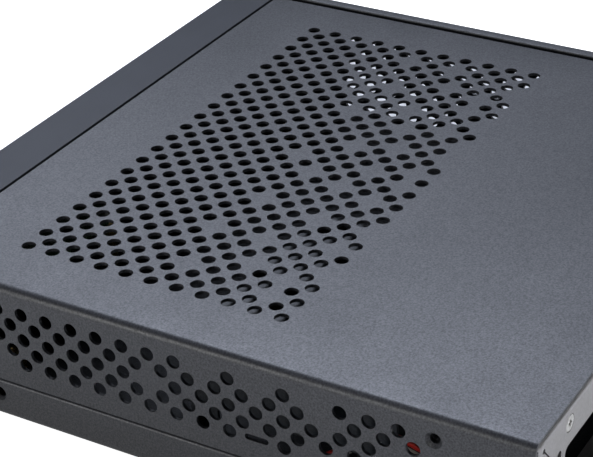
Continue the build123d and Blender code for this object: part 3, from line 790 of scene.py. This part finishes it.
# Painted shade: the faces inside the case get this darker, less shiny copy of the cover's coat.
INSIDE_PAINTED_SHADE_COAT = GrainedCoat(
    "inner_coat", (0.010, 0.011, 0.013), roughness=0.5, specular=0.16, sparkle=0.05
)
BLACK_ZINC = metal("black_zinc_plate", (0.045, 0.045, 0.050), 0.4)
GOLD = metal("gold_flash", (0.85, 0.58, 0.20), 0.2)
SLOT_FINISHES = {
    "dark_coat": GrainedCoat("dark_grained_coat", (0.0294, 0.0309, 0.0360)),
    "slate_coat": GrainedCoat(
        "slate_coat",
        (0.010, 0.013, 0.017),
        contrast=0.08,
        grain=0.8 * MM,
        roughness=0.42,
        specular=0.22,
        sparkle=0.06,
    ),
    "bare_steel": RolledSteel("bare_rolled_steel"),
    "zinc_steel": metal("zinc_plate", (0.66, 0.65, 0.62)),
    "brass": metal("brass", (0.62, 0.46, 0.20), 0.24),
    "rubber": Mottled(
        "foot_rubber",
        (0.022, 0.022, 0.023),
        roughness=(0.66, 0.85),
        shades=(1.0, 2.0),
        patch=(1.2 * MM, 4.0, 0.7),
        grain=(1.2 * MM, 4.0, 0.7),
        depth=0.01 * MM,
        relief=(0.3 * MM,),
        ends=(0.4, 0.75),
    ),
    "bezel_plastic": plastic("bezel_plastic", (0.034, 0.037, 0.045), 0.48, shine=0.2),
    "button_plastic": plastic("button_plastic", (0.030, 0.032, 0.039), 0.22),
    "black_plastic": plastic("black_plastic", (0.018, 0.018, 0.019), 0.38),
    "clear_plastic": Mottled(
        "clear_moulding",
        (0.80, 0.86, 0.92),
        roughness=(0.12, 0.3),
        shades=(0.9, 1.0),
        patch=(0.9 * MM, 3.0),
        grain=(0.9 * MM, 3.0),
        settings=(("Transmission_Weight", 0.55), ("IOR", 1.49)),
    ),
    "board_green": LacqueredBoard("board_lacquer"),
    "red_sleeve": plastic("red_sleeve", (0.52, 0.022, 0.016), 0.34, 0.12),
    "white_sleeve": plastic("white_sleeve", (0.74, 0.73, 0.70), 0.36),
}


class Paint:
    """Makes each finish's material once, and dresses the pieces."""

    def __init__(self) -> None:
        """Start with no materials."""
        self.made: dict[str, bpy.types.Material] = {}

    def material(self, finish: Finish) -> bpy.types.Material:
        """Give a finish's material, and make it if this is its first use."""
        if finish.name not in self.made:
            self.made[finish.name] = finish.material()
        return self.made[finish.name]

    def coat(self, piece: Piece, finish: Finish) -> None:
        """Give a piece one finish all over."""
        piece.data.materials.clear()
        piece.data.materials.append(self.material(finish))

    def coat_nodes(self, frame: dict) -> None:
        """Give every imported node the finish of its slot."""
        for row in frame["record"]["subparts"]:
            self.coat(frame["nodes"][row["node"]], SLOT_FINISHES[row["material_slot"]])

    def dress(
        self,
        piece: Piece,
        slot: str,
        node: str | None = None,
        body: str = CASE,
        finish: Finish | None = None,
    ) -> None:
        """Coat a finished piece and let it ride on its body.

        Args:
            piece: The finished piece, in place.
            slot: The material slot that it belongs to.
            node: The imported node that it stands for, or None if it is an addition.
            body: The body that carries it.
            finish: Its finish, if that isn't the slot's own.
        """
        self.coat(piece, finish or SLOT_FINISHES[slot])
        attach(piece, body)
        if node:
            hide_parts(node)


# Parts in their packed form


@dataclass(frozen=True)
class Bend:
    """A bend along the near side whose coat has run out to a softer radius.

    The corner is where the two flat faces would meet, as X and Z.
    """

    corner: Pair
    radius: float
    softer: float
    slack: float = 0.005 * MM

    def shape(self, sheet: Piece) -> None:
        """Move the bend's points out from the radius to the softer one."""
        x, z = self.corner
        for vertex in sheet.data.vertices:
            across = vertex.co.x - (x - self.radius)
            up = vertex.co.z - (z - self.radius)
            if across < -self.slack or not -self.slack < up < self.radius + self.slack:
                continue
            turn = math.atan2(max(up, 0.0), max(across, 0.0))
            reach = math.hypot(across, up) + self.softer - self.radius
            vertex.co.x = x - self.softer + reach * math.cos(turn)
            vertex.co.z = z - self.softer + reach * math.sin(turn)


@dataclass(frozen=True)
class Hem:
    """The folded edge of the far lip, drawn toward the cover so that the gap is narrow.

    It lies between two corners, given as X and Z.
    """

    low: Pair
    high: Pair
    shift: float

    def shape(self, sheet: Piece) -> None:
        """Move the hem's points toward the near side."""
        for vertex in sheet.data.vertices:
            x, _, z = vertex.co
            if self.low[0] < x < self.high[0] and self.low[1] < z < self.high[1]:
                vertex.co.x += self.shift


COVER_BEND = Bend((103.5 * MM, 46.0 * MM), 2.0 * MM, 2.35 * MM)
STRIP_SHOULDER = Bend((103.5 * MM, 15.1 * MM), 0.4 * MM, 0.9 * MM)
FAR_LIP = Hem((-0.1003, 0.0425), (-0.0988, 0.0468), 0.8 * MM)
# The box whose faces inside the case get the darker coat of painted shade.
INSIDE = ((-0.1028, -0.0838, 0.0032), (0.1028, 0.1007, 0.0440))


@dataclass
class PackedPart:
    """A part in its packed form, with its edges broken and coated.

    The edges are broken where they are sharper than an angle in degrees. The shapers move some
    points before that, and inside is the box whose faces get the darker coat of painted shade.
    """

    node: str
    name: str
    slot: str
    edge: float
    body: str = CASE
    segments: int = 2
    angle: float = 40.0
    shapers: tuple[Bend | Hem, ...] = ()
    inside: tuple[Triple, Triple] | None = None

    def model(self) -> Piece:
        """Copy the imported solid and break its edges."""
        piece = merged_copy(self.node, self.name)
        for shaper in self.shapers:
            shaper.shape(piece)
        bevel(piece, self.edge, self.segments, self.angle)
        smooth(piece)
        return piece

    def build(self, paint: Paint) -> None:
        """Model the part and dress it.

        Args:
            paint: The finishes.
        """
        piece = self.model()
        paint.dress(piece, self.slot, self.node, self.body)
        if self.inside:
            self.paint_inside_shade(piece, paint)

    def paint_inside_shade(self, piece: Piece, paint: Paint) -> None:
        """Give the faces that look into the case a darker coat: painted shade inside the case."""
        piece.data.materials.append(paint.material(INSIDE_PAINTED_SHADE_COAT))
        low, high = self.inside
        for face in piece.data.polygons:
            if all(low[i] < face.center[i] < high[i] for i in range(3)):
                face.material_index = 1


def folded(node: str, name: str, slot: str, **more: object) -> PackedPart:
    """Give a folded sheet, whose cut edges are broken but whose bends aren't."""
    return PackedPart(node, name, slot, 0.10 * MM, segments=1, angle=50.0, **more)


# Fittings that are set out


@dataclass
class Fittings:
    """Fittings of one kind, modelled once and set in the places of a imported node's solids."""

    node: str
    name: str
    out: Axis
    slot: ClassVar[str] = "zinc_steel"
    shading: ClassVar[float] = 30.0
    finish: Finish | None = field(default=None, kw_only=True)

    def pattern(self, span: Vector, length: float) -> Piece:
        """Model one fitting, its outer end at the origin and its inner end down -Z.

        Args:
            span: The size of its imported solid's box.
            length: The solid's length along the way that it points.

        Returns:
            The fitting.
        """
        raise NotImplementedError

    def build(self, paint: Paint) -> None:
        """Model one fitting, set out its copies and dress them.

        Args:
            paint: The finishes.
        """
        boxes = solid_boxes(self.node)
        span = boxes[0][1] - boxes[0][0]
        fitting = self.pattern(span, abs(span.dot(self.out.vector)))
        smooth(fitting, self.shading)
        places = [head_place(box, self.out) for box in boxes]
        fittings = set_out(fitting, places, self.name)
        paint.dress(fittings, self.slot, self.node, finish=self.finish)


@dataclass
class Screws(Fittings):
    """Screws with a turned head, a cross recess and a rolled thread."""

    head: tuple[Pair, ...]
    thread: Thread
    recess: Cross
    recess_top: float = 0.0
    shading: ClassVar[float] = 32.0

    def pattern(self, span: Vector, length: float) -> Piece:
        """Model one screw, as Fittings.pattern says."""
        rings = self.thread.rings(self.head[-1][1], -length)
        screw = turned(self.name, [*self.head, *rings])
        self.recess.sink(screw, self.recess_top)
        return screw


def sunk_screws(node: str, name: str, out: Axis) -> Screws:
    """Give countersunk screws, set flush."""
    thread = Thread(1.42 * MM, 0.16 * MM, 0.5 * MM)
    radius = 2.26 * MM
    rim = 0.25 * MM
    head = (
        (radius - rim / 2, 0.0),
        (radius, -rim / 2),
        (radius, -rim),
        (thread.root, thread.radius - rim - radius),
    )
    return Screws(node, name, out, head, thread, Cross(1.45 * MM, 0.8 * MM))


def pan_screws(node: str, name: str, out: Axis, radius: float, height: float) -> Screws:
    """Give screws with a domed head, whose points are shares of its radius and height."""
    dome = ((0.34, 0.02), (0.62, 0.10), (0.83, 0.27), (0.96, 0.52), (1.0, 0.80), (0.97, 1.0))
    thread = Thread(1.1 * MM, 0.2 * MM, 0.8 * MM)
    head = [(radius * across, -height * down) for across, down in dome]
    head.append((thread.root, -height))
    return Screws(node, name, out, tuple(head), thread, Cross(1.3 * MM, 0.6 * MM), head[0][1])


@dataclass
class ClinchNuts(Fittings):
    """Nuts pressed into sheet metal: a notched rim, a turned collar and a threaded bore."""

    thread: ClassVar[Thread] = Thread(1.3 * MM, 0.14 * MM, 0.5 * MM)
    shading: ClassVar[float] = 28.0
    collar: float = 0.35 * MM
    notches: int = 24
    rim_share: float = 0.985
    notch_share: float = 0.955

    def pattern(self, span: Vector, length: float) -> Piece:
        """Model one nut, as Fittings.pattern says."""
        radius = max(span) / 2
        bore = self.thread.radius
        profile = [
            (bore, 0.0),
            (radius - self.collar * 1.6, 0.0),
            (radius - self.collar, -length * 0.14),
            (radius - self.collar, -length * 0.52),
            (radius, -length * 0.60),
            (radius, -length),
            *self.thread.rings(-length, 0.0),
            (bore, 0.0),
        ]
        nut = turned(self.name, profile, steps=2 * self.notches, hollow=True)
        for vertex in nut.data.vertices:
            x, y, _ = vertex.co
            turn = math.atan2(y, x) / math.tau * 2 * self.notches
            if math.hypot(x, y) > radius * self.rim_share and round(turn) % 2:
                vertex.co.x *= self.notch_share
                vertex.co.y *= self.notch_share
        return nut


@dataclass
class Rivets(Fittings):
    """Blind rivets: a domed flange below, and a closed head with its broken stem above."""

    flange_height: float = 0.8 * MM
    shank_radius: float = 1.6 * MM
    stem_radius: float = 0.7 * MM

    def pattern(self, span: Vector, length: float) -> Piece:
        """Model one rivet, as Fittings.pattern says."""
        radius = span.x / 2
        high = self.flange_height
        stem = self.stem_radius
        shank = self.shank_radius
        profile = [
            (stem * 0.7, -0.08 * MM),
            (stem, -0.16 * MM),
            (stem, -0.42 * MM),
            (stem * 1.35, -0.30 * MM),
            (shank * 0.92, 0.0),
            (radius * 0.80, -high * 0.18),
            (radius * 0.93, -high * 0.55),
            (radius * 0.90, -high),
            (shank, -high),
            (shank, high - length),
            (radius, high - length),
            (radius, high * 0.72 - length),
            (radius * 0.86, high * 0.28 - length),
            (radius * 0.55, -length),
            (stem * 1.4, -length),
            (stem, high * 0.5 - length),
        ]
        return turned(self.name, profile)


@dataclass
class Standoffs(Fittings):
    """Hexagonal brass seats with a swaged foot, a turned top land and a threaded bore."""

    slot: ClassVar[str] = "brass"
    shading: ClassVar[float] = 28.0
    thread: ClassVar[Thread] = Thread(1.25 * MM, 0.14 * MM, 0.5 * MM)
    bore_depth: float = 5.0 * MM
    lead_in: float = 0.3 * MM
    drill_point: float = 0.4 * MM
    edge: float = 0.28 * MM

    def pattern(self, span: Vector, length: float) -> Piece:
        """Model one standoff, as Fittings.pattern says."""
        half = min(span.x, span.y) / 2
        corner = 2 * half / math.sqrt(3.0)
        bpy.ops.mesh.primitive_cylinder_add(
            vertices=6,
            radius=corner,
            depth=length,
            location=(0.0, 0.0, -length / 2),
            rotation=(0.0, 0.0, math.radians(30.0)),
        )
        seat = bpy.context.object
        seat.name = self.name
        settle(seat)
        outline = [
            (half * 0.99, 0.0),
            (corner * 1.02, -self.edge * 1.4),
            (corner * 1.02, -length + self.edge),
            (half * 1.02, -length),
        ]
        combine(seat, turned("seat_round", outline), "INTERSECT")
        bore = [
            (self.thread.radius + self.thread.depth * 1.5, 0.0),
            (self.thread.radius, -self.lead_in),
            *self.thread.rings(-self.lead_in, -self.bore_depth),
            (self.lead_in, -self.bore_depth - self.drill_point),
        ]
        combine(seat, turned("seat_bore", bore), "DIFFERENCE")
        return seat


@dataclass
class RubberFeet(Fittings):
    """Moulded feet with a draft, a soft edge, a recessed face and fine grip rings."""

    slot: ClassVar[str] = "rubber"
    recess: float = 0.5 * MM
    ring: float = 0.12 * MM
    rings: int = 3

    def pattern(self, span: Vector, length: float) -> Piece:
        """Model one foot, as Fittings.pattern says."""
        radius = span.x / 2
        profile = [
            (radius * 0.985, 0.0),
            (radius, -0.2 * MM),
            (radius * 0.985, -length * 0.62),
            (radius * 0.95, -length * 0.86),
            (radius * 0.89, -length),
        ]
        for step in range(self.rings):
            reach = radius * (0.84 - 0.09 * step)
            profile += [
                (reach, -length),
                (reach - 0.15 * MM, -length + self.ring),
                (reach - 0.35 * MM, -length + self.ring),
                (reach - 0.5 * MM, -length),
            ]
        profile += [(radius * 0.52, -length), (radius * 0.47, -length + self.recess)]
        return turned(self.name, profile, steps=64)


# The front and what lies behind it


@dataclass
class Bezel(PackedPart):
    """The moulded front, with its seam to the cover widened."""

    seam_depth: float = 0.9 * MM
    seam_draft: float = 0.6 * MM

    def model(self) -> Piece:
        """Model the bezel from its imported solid."""
        bezel = super().model()
        edge = solid_boxes(self.node)[0][1].z - self.seam_depth
        upper = [vertex for vertex in bezel.data.vertices if vertex.co.z > edge]
        rear = max(vertex.co.y for vertex in upper)
        for vertex in upper:
            if vertex.co.y > rear - self.edge * 2:
                vertex.co.y -= self.seam_draft
        press_modifier(bezel, "WEIGHTED_NORMAL", keep_sharp=True)
        return bezel


@dataclass
class Sockets:
    """The two front sockets' folded shells with their springs, and their gold contacts."""

    wall: float = 0.4 * MM
    corner: float = 0.5 * MM
    spring_shift: float = 2.6 * MM
    spring_width: float = 2.0 * MM
    spring_length: float = 5.0 * MM
    spring_rise: float = 0.45 * MM
    slit_start: float = 3.0 * MM
    slit_half: Triple = (0.11 * MM, 0.0, 0.6 * MM)
    contact_places: tuple[float, ...] = (-3.5 * MM, -1.0 * MM, 1.0 * MM, 3.5 * MM)
    contact_starts: tuple[float, ...] = (1.0 * MM, 2.0 * MM, 2.0 * MM, 1.0 * MM)
    contact_drop: float = 3.3 * MM
    contact_width: float = 0.9 * MM
    contact_length: float = 7.0 * MM
    contact_rise: float = 0.06 * MM

    def shell(self, low: Vector, high: Vector) -> Piece:
        """Model one shell in place, open at the front and slit beside its springs."""
        body = block("socket_shell", low, high)
        bevel(body, self.corner, 4)
        inset = Vector((self.wall,) * 3)
        hollow = block("socket_hollow", low + inset - Vector((0.0, 2.0 * MM, 0.0)), high - inset)
        bevel(hollow, self.corner * 0.6, 3)
        combine(body, hollow, "DIFFERENCE")
        half = Vector(self.slit_half)
        length = Vector((0.0, self.spring_length, 0.0))
        for side in (-1.0, 1.0):
            for edge in (-1.0, 1.0):
                x = (low.x + high.x) / 2 + side * self.spring_shift
                start = Vector((x + edge * self.spring_width / 2, low.y + self.slit_start, high.z))
                slit = block("socket_slit", start - half, start + half + length)
                combine(body, slit, "DIFFERENCE")
        smooth(body)
        return body

    def springs(self, low: Vector, high: Vector) -> list[Piece]:
        """Model the two springs that press on a plug through the shell's top."""
        made = []
        half = self.spring_width / 2 - 0.2 * MM
        near = low.y + self.slit_start + 0.4 * MM
        top = high.z - self.wall
        for side in (-1.0, 1.0):
            x = (low.x + high.x) / 2 + side * self.spring_shift
            spring = block(
                "socket_spring",
                Vector((x - half, near, top - 0.25 * MM)),
                Vector((x + half, near + self.spring_length * 0.7, top)),
            )
            with editing(spring) as mesh:
                pick_faces(mesh, lambda face: face.normal.y < -FACING)
                bpy.ops.transform.translate(value=(0.0, 0.0, -self.spring_rise))
            bevel(spring, 0.08 * MM)
            smooth(spring)
            made.append(spring)
        return made

    def contacts(self, low: Vector, high: Vector) -> list[Piece]:
        """Model the four gold strips under one tongue."""
        made = []
        half = self.contact_width / 2
        base = high.z - self.contact_drop
        for place, start in zip(self.contact_places, self.contact_starts):
            x = (low.x + high.x) / 2 + place
            front = low.y + start
            strip = block(
                "socket_contact",
                Vector((x - half, front, base - self.contact_rise)),
                Vector((x + half, front + self.contact_length, base)),
            )
            bevel(strip, 0.03 * MM, 1)
            made.append(strip)
        return made

    def build(self, paint: Paint) -> None:
        """Model and dress both sockets in their packed places."""
        shells = []
        for box in solid_boxes("usb_shells"):
            shells += [self.shell(*box), *self.springs(*box)]
        paint.dress(join(shells, "socket_shells"), "zinc_steel", "usb_shells")
        strips = []
        for box in solid_boxes("usb_tongues"):
            strips += self.contacts(*box)
        paint.dress(join(strips, "socket_contacts"), "brass", finish=GOLD)


@dataclass
class ButtonCap(PackedPart):
    """The round button: a dished cap with turned rings, a collar and a stem."""

    rings: int = 9
    reach: float = 6.0 * MM
    ring_radius: float = 0.07 * MM
    ring_inset: float = 0.03 * MM

    def model(self) -> Piece:
        """Model the cap and cut its rings."""
        cap = super().model()
        low, high = solid_boxes(self.node)[0]
        centre = Vector(((low.x + high.x) / 2, low.y, (low.z + high.z) / 2))
        for step in range(self.rings):
            radius = self.reach * (step + 1.5) / (self.rings + 1.5)
            bpy.ops.mesh.primitive_torus_add(
                major_radius=radius,
                minor_radius=self.ring_radius,
                major_segments=64,
                minor_segments=8,
                rotation=(math.radians(90.0), 0.0, 0.0),
                location=(centre.x, self.face_y(cap, centre, radius), centre.z),
            )
            ring = bpy.context.object
            settle(ring)
            combine(cap, ring, "DIFFERENCE")
        smooth(cap)
        return cap

    def face_y(self, cap: Piece, centre: Vector, radius: float) -> float:
        """Find where a ring of a radius lies on the cap's dished face, along Y."""
        start = Vector((centre.x + radius, centre.y - 5.0 * MM, centre.z))
        hit, place, _, _ = cap.ray_cast(start, Axis.REAR.vector)
        return place.y - self.ring_inset if hit else centre.y


@dataclass
class BoardParts:
    """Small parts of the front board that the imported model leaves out.

    The tables are in millimetres: each chip's middle, and each package's middle and size.
    """

    leg: float = 0.5 * MM
    strap: float = 0.2 * MM
    legs_a_side: int = 4
    chips: tuple[Pair, ...] = (
        (29.0, -82.0),
        (31.6, -82.0),
        (44.0, -80.0),
        (46.6, -80.0),
        (58.0, -78.6),
    )
    packages: tuple[tuple[float, ...], ...] = (
        (38.0, -78.5, 5.0, 4.0, 1.3),
        (71.0, -79.5, 3.2, 3.0, 1.0),
    )

    def build(self, paint: Paint) -> None:
        """Model and dress the switch's frame, the indicator's legs and the chips."""
        self.build_switch_frame(paint)
        self.build_legs(paint)
        self.build_small_parts(paint)

    def build_switch_frame(self, paint: Paint) -> None:
        """Model the folded steel frame round the push switch."""
        low, high = solid_boxes("power_switch")[0]
        wall = self.strap
        straps = []
        for x_low, x_high, y_low, y_high in (
            (low.x - wall, low.x, low.y + 2 * wall, high.y),
            (high.x, high.x + wall, low.y + 2 * wall, high.y),
            (low.x - wall, high.x + wall, high.y, high.y + wall),
        ):
            corner = Vector((x_low, y_low, low.z))
            far = Vector((x_high, y_high, high.z - 4 * wall))
            straps.append(block("switch_strap", corner, far))
        self.finish_small(straps, "switch_frame", "zinc_steel", paint)

    def build_legs(self, paint: Paint) -> None:
        """Model the indicator's two bent legs."""
        low, high = solid_boxes("indicator_led")[0]
        half = self.leg / 2
        bent = low.z + 2 * MM
        y = high.y + 0.6 * MM
        legs = []
        for side in (0.3, 0.7):
            x = low.x + (high.x - low.x) * side
            far = Vector((x + half, y + half, bent))
            legs.append(block("indicator_leg", Vector((x - half, y - half, low.z)), far))
            arm = Vector((x - half, high.y, bent - self.leg))
            legs.append(block("indicator_arm", arm, far))
        self.finish_small(legs, "indicator_legs", "zinc_steel", paint, 0.08 * MM)

    def build_small_parts(self, paint: Paint) -> None:
        """Model the chips and packages that such a board carries, with their ends and legs."""
        bodies = []
        ends = []
        for x, y in self.chips:
            bodies.append(self.lump(x, y, 1.1, 1.0, 0.5))
            for side in (-0.75, 0.75):
                ends.append(self.lump(x + side, y, 0.4, 1.04, 0.525))
        for x, y, wide, deep, tall in self.packages:
            bodies.append(self.lump(x, y, wide, deep, tall, 0.1))
            for step in range(self.legs_a_side):
                along = x - wide / 2 + wide * (step + 0.5) / self.legs_a_side
                for side in (-1, 1):
                    ends.append(self.lump(along, y + side * (deep / 2 + 0.35), 0.4, 0.8, 0.25))
        self.finish_small(bodies, "chip_bodies", "black_plastic", paint)
        self.finish_small(ends, "chip_ends", "zinc_steel", paint)

    def lump(
        self, x: float, y: float, wide: float, deep: float, tall: float, gap: float = 0.0
    ) -> Piece:
        """Add one block on the board: its middle, its size, and its underside's height in mm."""
        top = Vector((0.0, 0.0, solid_boxes("front_board")[0][1].z))
        low = Vector((x - wide / 2, y - deep / 2, gap)) * MM
        high = Vector((x + wide / 2, y + deep / 2, tall)) * MM
        return block("board_part", low + top, high + top)

    def finish_small(
        self,
        parts: list[Piece],
        name: str,
        slot: str,
        paint: Paint,
        edge: float = 0.06 * MM,
    ) -> None:
        """Break the edges of small parts, join them and dress them."""
        for part in parts:
            bevel(part, edge)
        paint.dress(join(parts, name), slot)


@dataclass
class LeadEnd(PackedPart):
    """The body of the lead's socket or plug, with a latch window over each contact."""

    lies_flat: bool = False
    rib: float = 0.3 * MM
    window_width: float = 1.1 * MM
    window_length: float = 2.2 * MM

    def model(self) -> Piece:
        """Model the body and cut its two windows."""
        body = super().model()
        low, high = solid_boxes(self.node)[0]
        for share in (0.25, 0.75):
            place = low + (high - low) * share
            place.y = low.y + (high.y - low.y) * 0.42
            half = Vector((self.window_width / 2, self.window_length / 2, self.rib))
            if self.lies_flat:
                place.z = high.z
            else:
                place.x = low.x
                half = half.zyx
            tool = block("latch_window", place - half, place + half)
            combine(body, tool, "DIFFERENCE")
        smooth(body)
        return body


# The studio

COOL = (0.93, 1.0, 1.18)


@dataclass(frozen=True)
class SoftBox:
    """One soft lamp: where it hangs, how large it is and what it gives."""

    name: str
    azimuth: float
    elevation: float
    distance: float
    size: float
    power: float
    spread: float = 180.0
    aim: Triple = (0.0, 0.0, 0.0)
    colour: Colour = PLAIN


@dataclass
class Studio:
    """The pale floor, the soft lamps and the camera of the photograph."""

    aim: Triple = (0.0412, 0.0024, 0.046)
    distance: float = 0.5277
    azimuth: float = 120.616
    elevation: float = 29.92
    roll: float = -1.837
    focal_length: float = 116.16
    floor_radius: float = 3.0
    floor_glow: float = 0.37
    white: float = 1.0
    # Painted shade: under the case and out past its far side, the floor's glow that the camera
    # sees drops to this level.
    painted_shade_under_case: float = 0.0
    painted_shade_shift: Pair = (0.045, 0.02)
    painted_shade_edge: Pair = (0.085, 0.1)
    surround: float = 0.01
    lamps: list[SoftBox] = field(
        default_factory=lambda: [
            SoftBox("back_lamp", 300.0, 55.0, 1.5, 1.0, 13.3, colour=COOL),
            SoftBox("front_lamp", 335.0, 30.0, 1.5, 1.2, 4.6, colour=COOL),
            SoftBox(
                "near_edge_lamp", 300.0, 55.0, 0.7, 0.35, 0.11, 40.0, (0.085, 0.0, 0.046), COOL
            ),
            SoftBox("near_side_lamp", 62.0, 14.0, 1.5, 0.5, 7.5),
            SoftBox("rear_lamp", 195.0, 35.0, 1.5, 0.9, 2.5),
            SoftBox("vent_lamp", 118.0, 38.5, 0.6, 0.04, 0.002, 8.0, (0.098, 0.067, 0.030)),
        ]
    )

    def direction(self, azimuth: float, elevation: float) -> Vector:
        """Give the direction from the object to a place at these angles, in degrees."""
        turn = math.radians(azimuth)
        rise = math.radians(elevation)
        flat = math.cos(rise)
        return Vector((math.sin(turn) * flat, -math.cos(turn) * flat, math.sin(rise)))

    def place_camera(self) -> None:
        """Put the camera where the photograph was taken."""
        bpy.ops.object.camera_add()
        camera = bpy.context.object
        camera.name = "photograph_camera"
        back = self.direction(self.azimuth, self.elevation)
        look = (-back).to_track_quat("-Z", "Y").to_matrix().to_4x4()
        lean = Matrix.Rotation(math.radians(self.roll), 4, "Z")
        place = Matrix.Translation(Vector(self.aim) + back * self.distance)
        camera.matrix_world = place @ look @ lean
        camera.data.lens = self.focal_length
        camera.data.clip_start = 0.01
        bpy.context.scene.camera = camera

    def lay_floor(self) -> None:
        """Lay a round pale floor that glows softly, and that the camera sees as white, with a
        painted shade under the case and past its far side.
        """
        bpy.ops.mesh.primitive_circle_add(vertices=64, radius=self.floor_radius, fill_type="NGON")
        floor = bpy.context.object
        floor.name = "studio_floor"
        bench = Bench("pale_floor")
        seen = bench.tree.nodes.new("ShaderNodeLightPath").outputs["Is Camera Ray"]
        # Painted shade: a box round the case, shifted toward its far side, inside which the
        # camera-seen glow falls from white to the shaded level.
        sides = bench.node("SeparateXYZ", Vector=bench.place)
        reach = []
        for side, shift in zip(("X", "Y"), self.painted_shade_shift):
            shifted = bench.math("ADD", sides.outputs[side], shift)
            reach.append(bench.math("SUBTRACT", bench.math("ABSOLUTE", shifted, 0.0), shift))
        out = bench.math("MAXIMUM", *reach)
        seen_level_with_painted_shade = bench.spread(out, self.painted_shade_under_case, self.white, *self.painted_shade_edge)
        bench.fill(
            bench.shader,
            Base_Color=bench.blend(bench.noise(0.4), tint(PLAIN, 0.80), tint(PLAIN, 0.82)),
            Roughness=0.9,
            Emission_Color=(*PLAIN, 1.0),
            Emission_Strength=bench.spread(seen, self.floor_glow, seen_level_with_painted_shade, 0.0, 1.0),
        )
        floor.data.materials.append(bench.material)

    def light_world(self) -> None:
        """Leave the surroundings dim, and show them white to the camera."""
        world = bpy.data.worlds.new("studio_world")
        bpy.context.scene.world = world
        world.use_nodes = True
        nodes = world.node_tree.nodes
        links = world.node_tree.links
        background = nodes["Background"]
        path = nodes.new("ShaderNodeLightPath")
        level = nodes.new("ShaderNodeMapRange")
        level.inputs["To Min"].default_value = self.surround
        level.inputs["To Max"].default_value = self.white
        links.new(path.outputs["Is Camera Ray"], level.inputs["Value"])
        links.new(level.outputs["Result"], background.inputs["Strength"])
        background.inputs["Color"].default_value = (*PLAIN, 1.0)

    def hang_lamps(self) -> None:
        """Hang the soft area lamps round the object."""
        for box in self.lamps:
            back = self.direction(box.azimuth, box.elevation)
            bpy.ops.object.light_add(type="AREA")
            lamp = bpy.context.object
            lamp.name = box.name
            lamp.data.shape = "SQUARE"
            lamp.data.size = box.size
            lamp.data.energy = box.power
            lamp.data.spread = math.radians(box.spread)
            lamp.data.color = box.colour
            turn = (-back).to_track_quat("-Z", "Y").to_matrix().to_4x4()
            lamp.matrix_world = Matrix.Translation(Vector(box.aim) + back * box.distance) @ turn

    def build(self) -> None:
        """Make the whole studio."""
        self.place_camera()
        self.lay_floor()
        self.light_world()
        self.hang_lamps()
        bpy.context.scene.view_settings.view_transform = "Standard"


def main() -> None:
    """Load the frame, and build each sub-assembly in order."""
    logging.basicConfig(level=logging.INFO, format="%(relativeCreated)d %(name)s: %(message)s")
    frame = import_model()
    studio = Studio()
    studio.build()
    paint = Paint()
    paint.coat_nodes(frame)
    assemblies = [
        folded("top_cover", "cover_sheet", "dark_coat", shapers=(COVER_BEND,)),
        folded(
            "chassis_tray",
            "tray_sheet",
            "dark_coat",
            shapers=(STRIP_SHOULDER, FAR_LIP),
            inside=INSIDE,
        ),
        folded("rear_panel", "rear_sheet", "bare_steel"),
        folded("drive_bracket", "bracket_sheet", "slate_coat"),
        sunk_screws("cover_screws", "cover_flush_screws", Axis.REAR),
        pan_screws("bracket_screws", "bracket_pan_screws", Axis.UP, 2.4 * MM, 1.4 * MM),
        pan_screws("bezel_screws", "bezel_pan_screws", Axis.REAR, 2.8 * MM, 1.8 * MM),
        pan_screws("board_screws", "board_pan_screws", Axis.UP, 2.6 * MM, 1.6 * MM),
        ClinchNuts("cover_nuts", "cover_clinch_nuts", Axis.FRONT),
        ClinchNuts("side_nuts", "side_clinch_nuts", Axis.FAR, finish=BLACK_ZINC),
        ClinchNuts("bracket_nuts", "bracket_clinch_nuts", Axis.DOWN),
        Rivets("tray_rivets", "blind_rivets", Axis.UP),
        Standoffs("board_standoffs", "hexagonal_seats", Axis.UP),
        RubberFeet("rubber_feet", "moulded_feet", Axis.UP),
        Bezel("front_bezel", "bezel_moulding", "bezel_plastic", 0.15 * MM),
        Sockets(),
        PackedPart("usb_tongues", "socket_tongues", "black_plastic", 0.12 * MM),
        ButtonCap("power_button", "button_cap", "button_plastic", 0.08 * MM, BUTTON),
        PackedPart("switch_plunger", "button_plunger", "black_plastic", 0.1 * MM, BUTTON),
        PackedPart("front_board", "board_sheet", "board_green", 0.08 * MM),
        PackedPart("power_switch", "switch_body", "black_plastic", 0.18 * MM),
        PackedPart("indicator_led", "indicator_body", "clear_plastic", 0.2 * MM),
        PackedPart("light_pipe", "light_guide", "clear_plastic", 0.12 * MM),
        PackedPart("board_posts", "turned_posts", "brass", 0.15 * MM),
        BoardParts(),
        PackedPart("lead_header", "header_body", "black_plastic", 0.12 * MM),
        PackedPart("lead_clips", "saddle_clips", "black_plastic", 0.12 * MM),
        PackedPart("plug_clip", "side_clip", "black_plastic", 0.12 * MM),
        LeadEnd("lead_socket", "socket_body", "black_plastic", 0.1 * MM, lies_flat=True),
        LeadEnd("lead_plug", "plug_body", "black_plastic", 0.1 * MM),
    ]
    for assembly in assemblies:
        assembly.build(paint)
        LOG.info("built %s", type(assembly).__name__)
    bpy.context.view_layer.update()


if __name__ == "__main__":
    main()
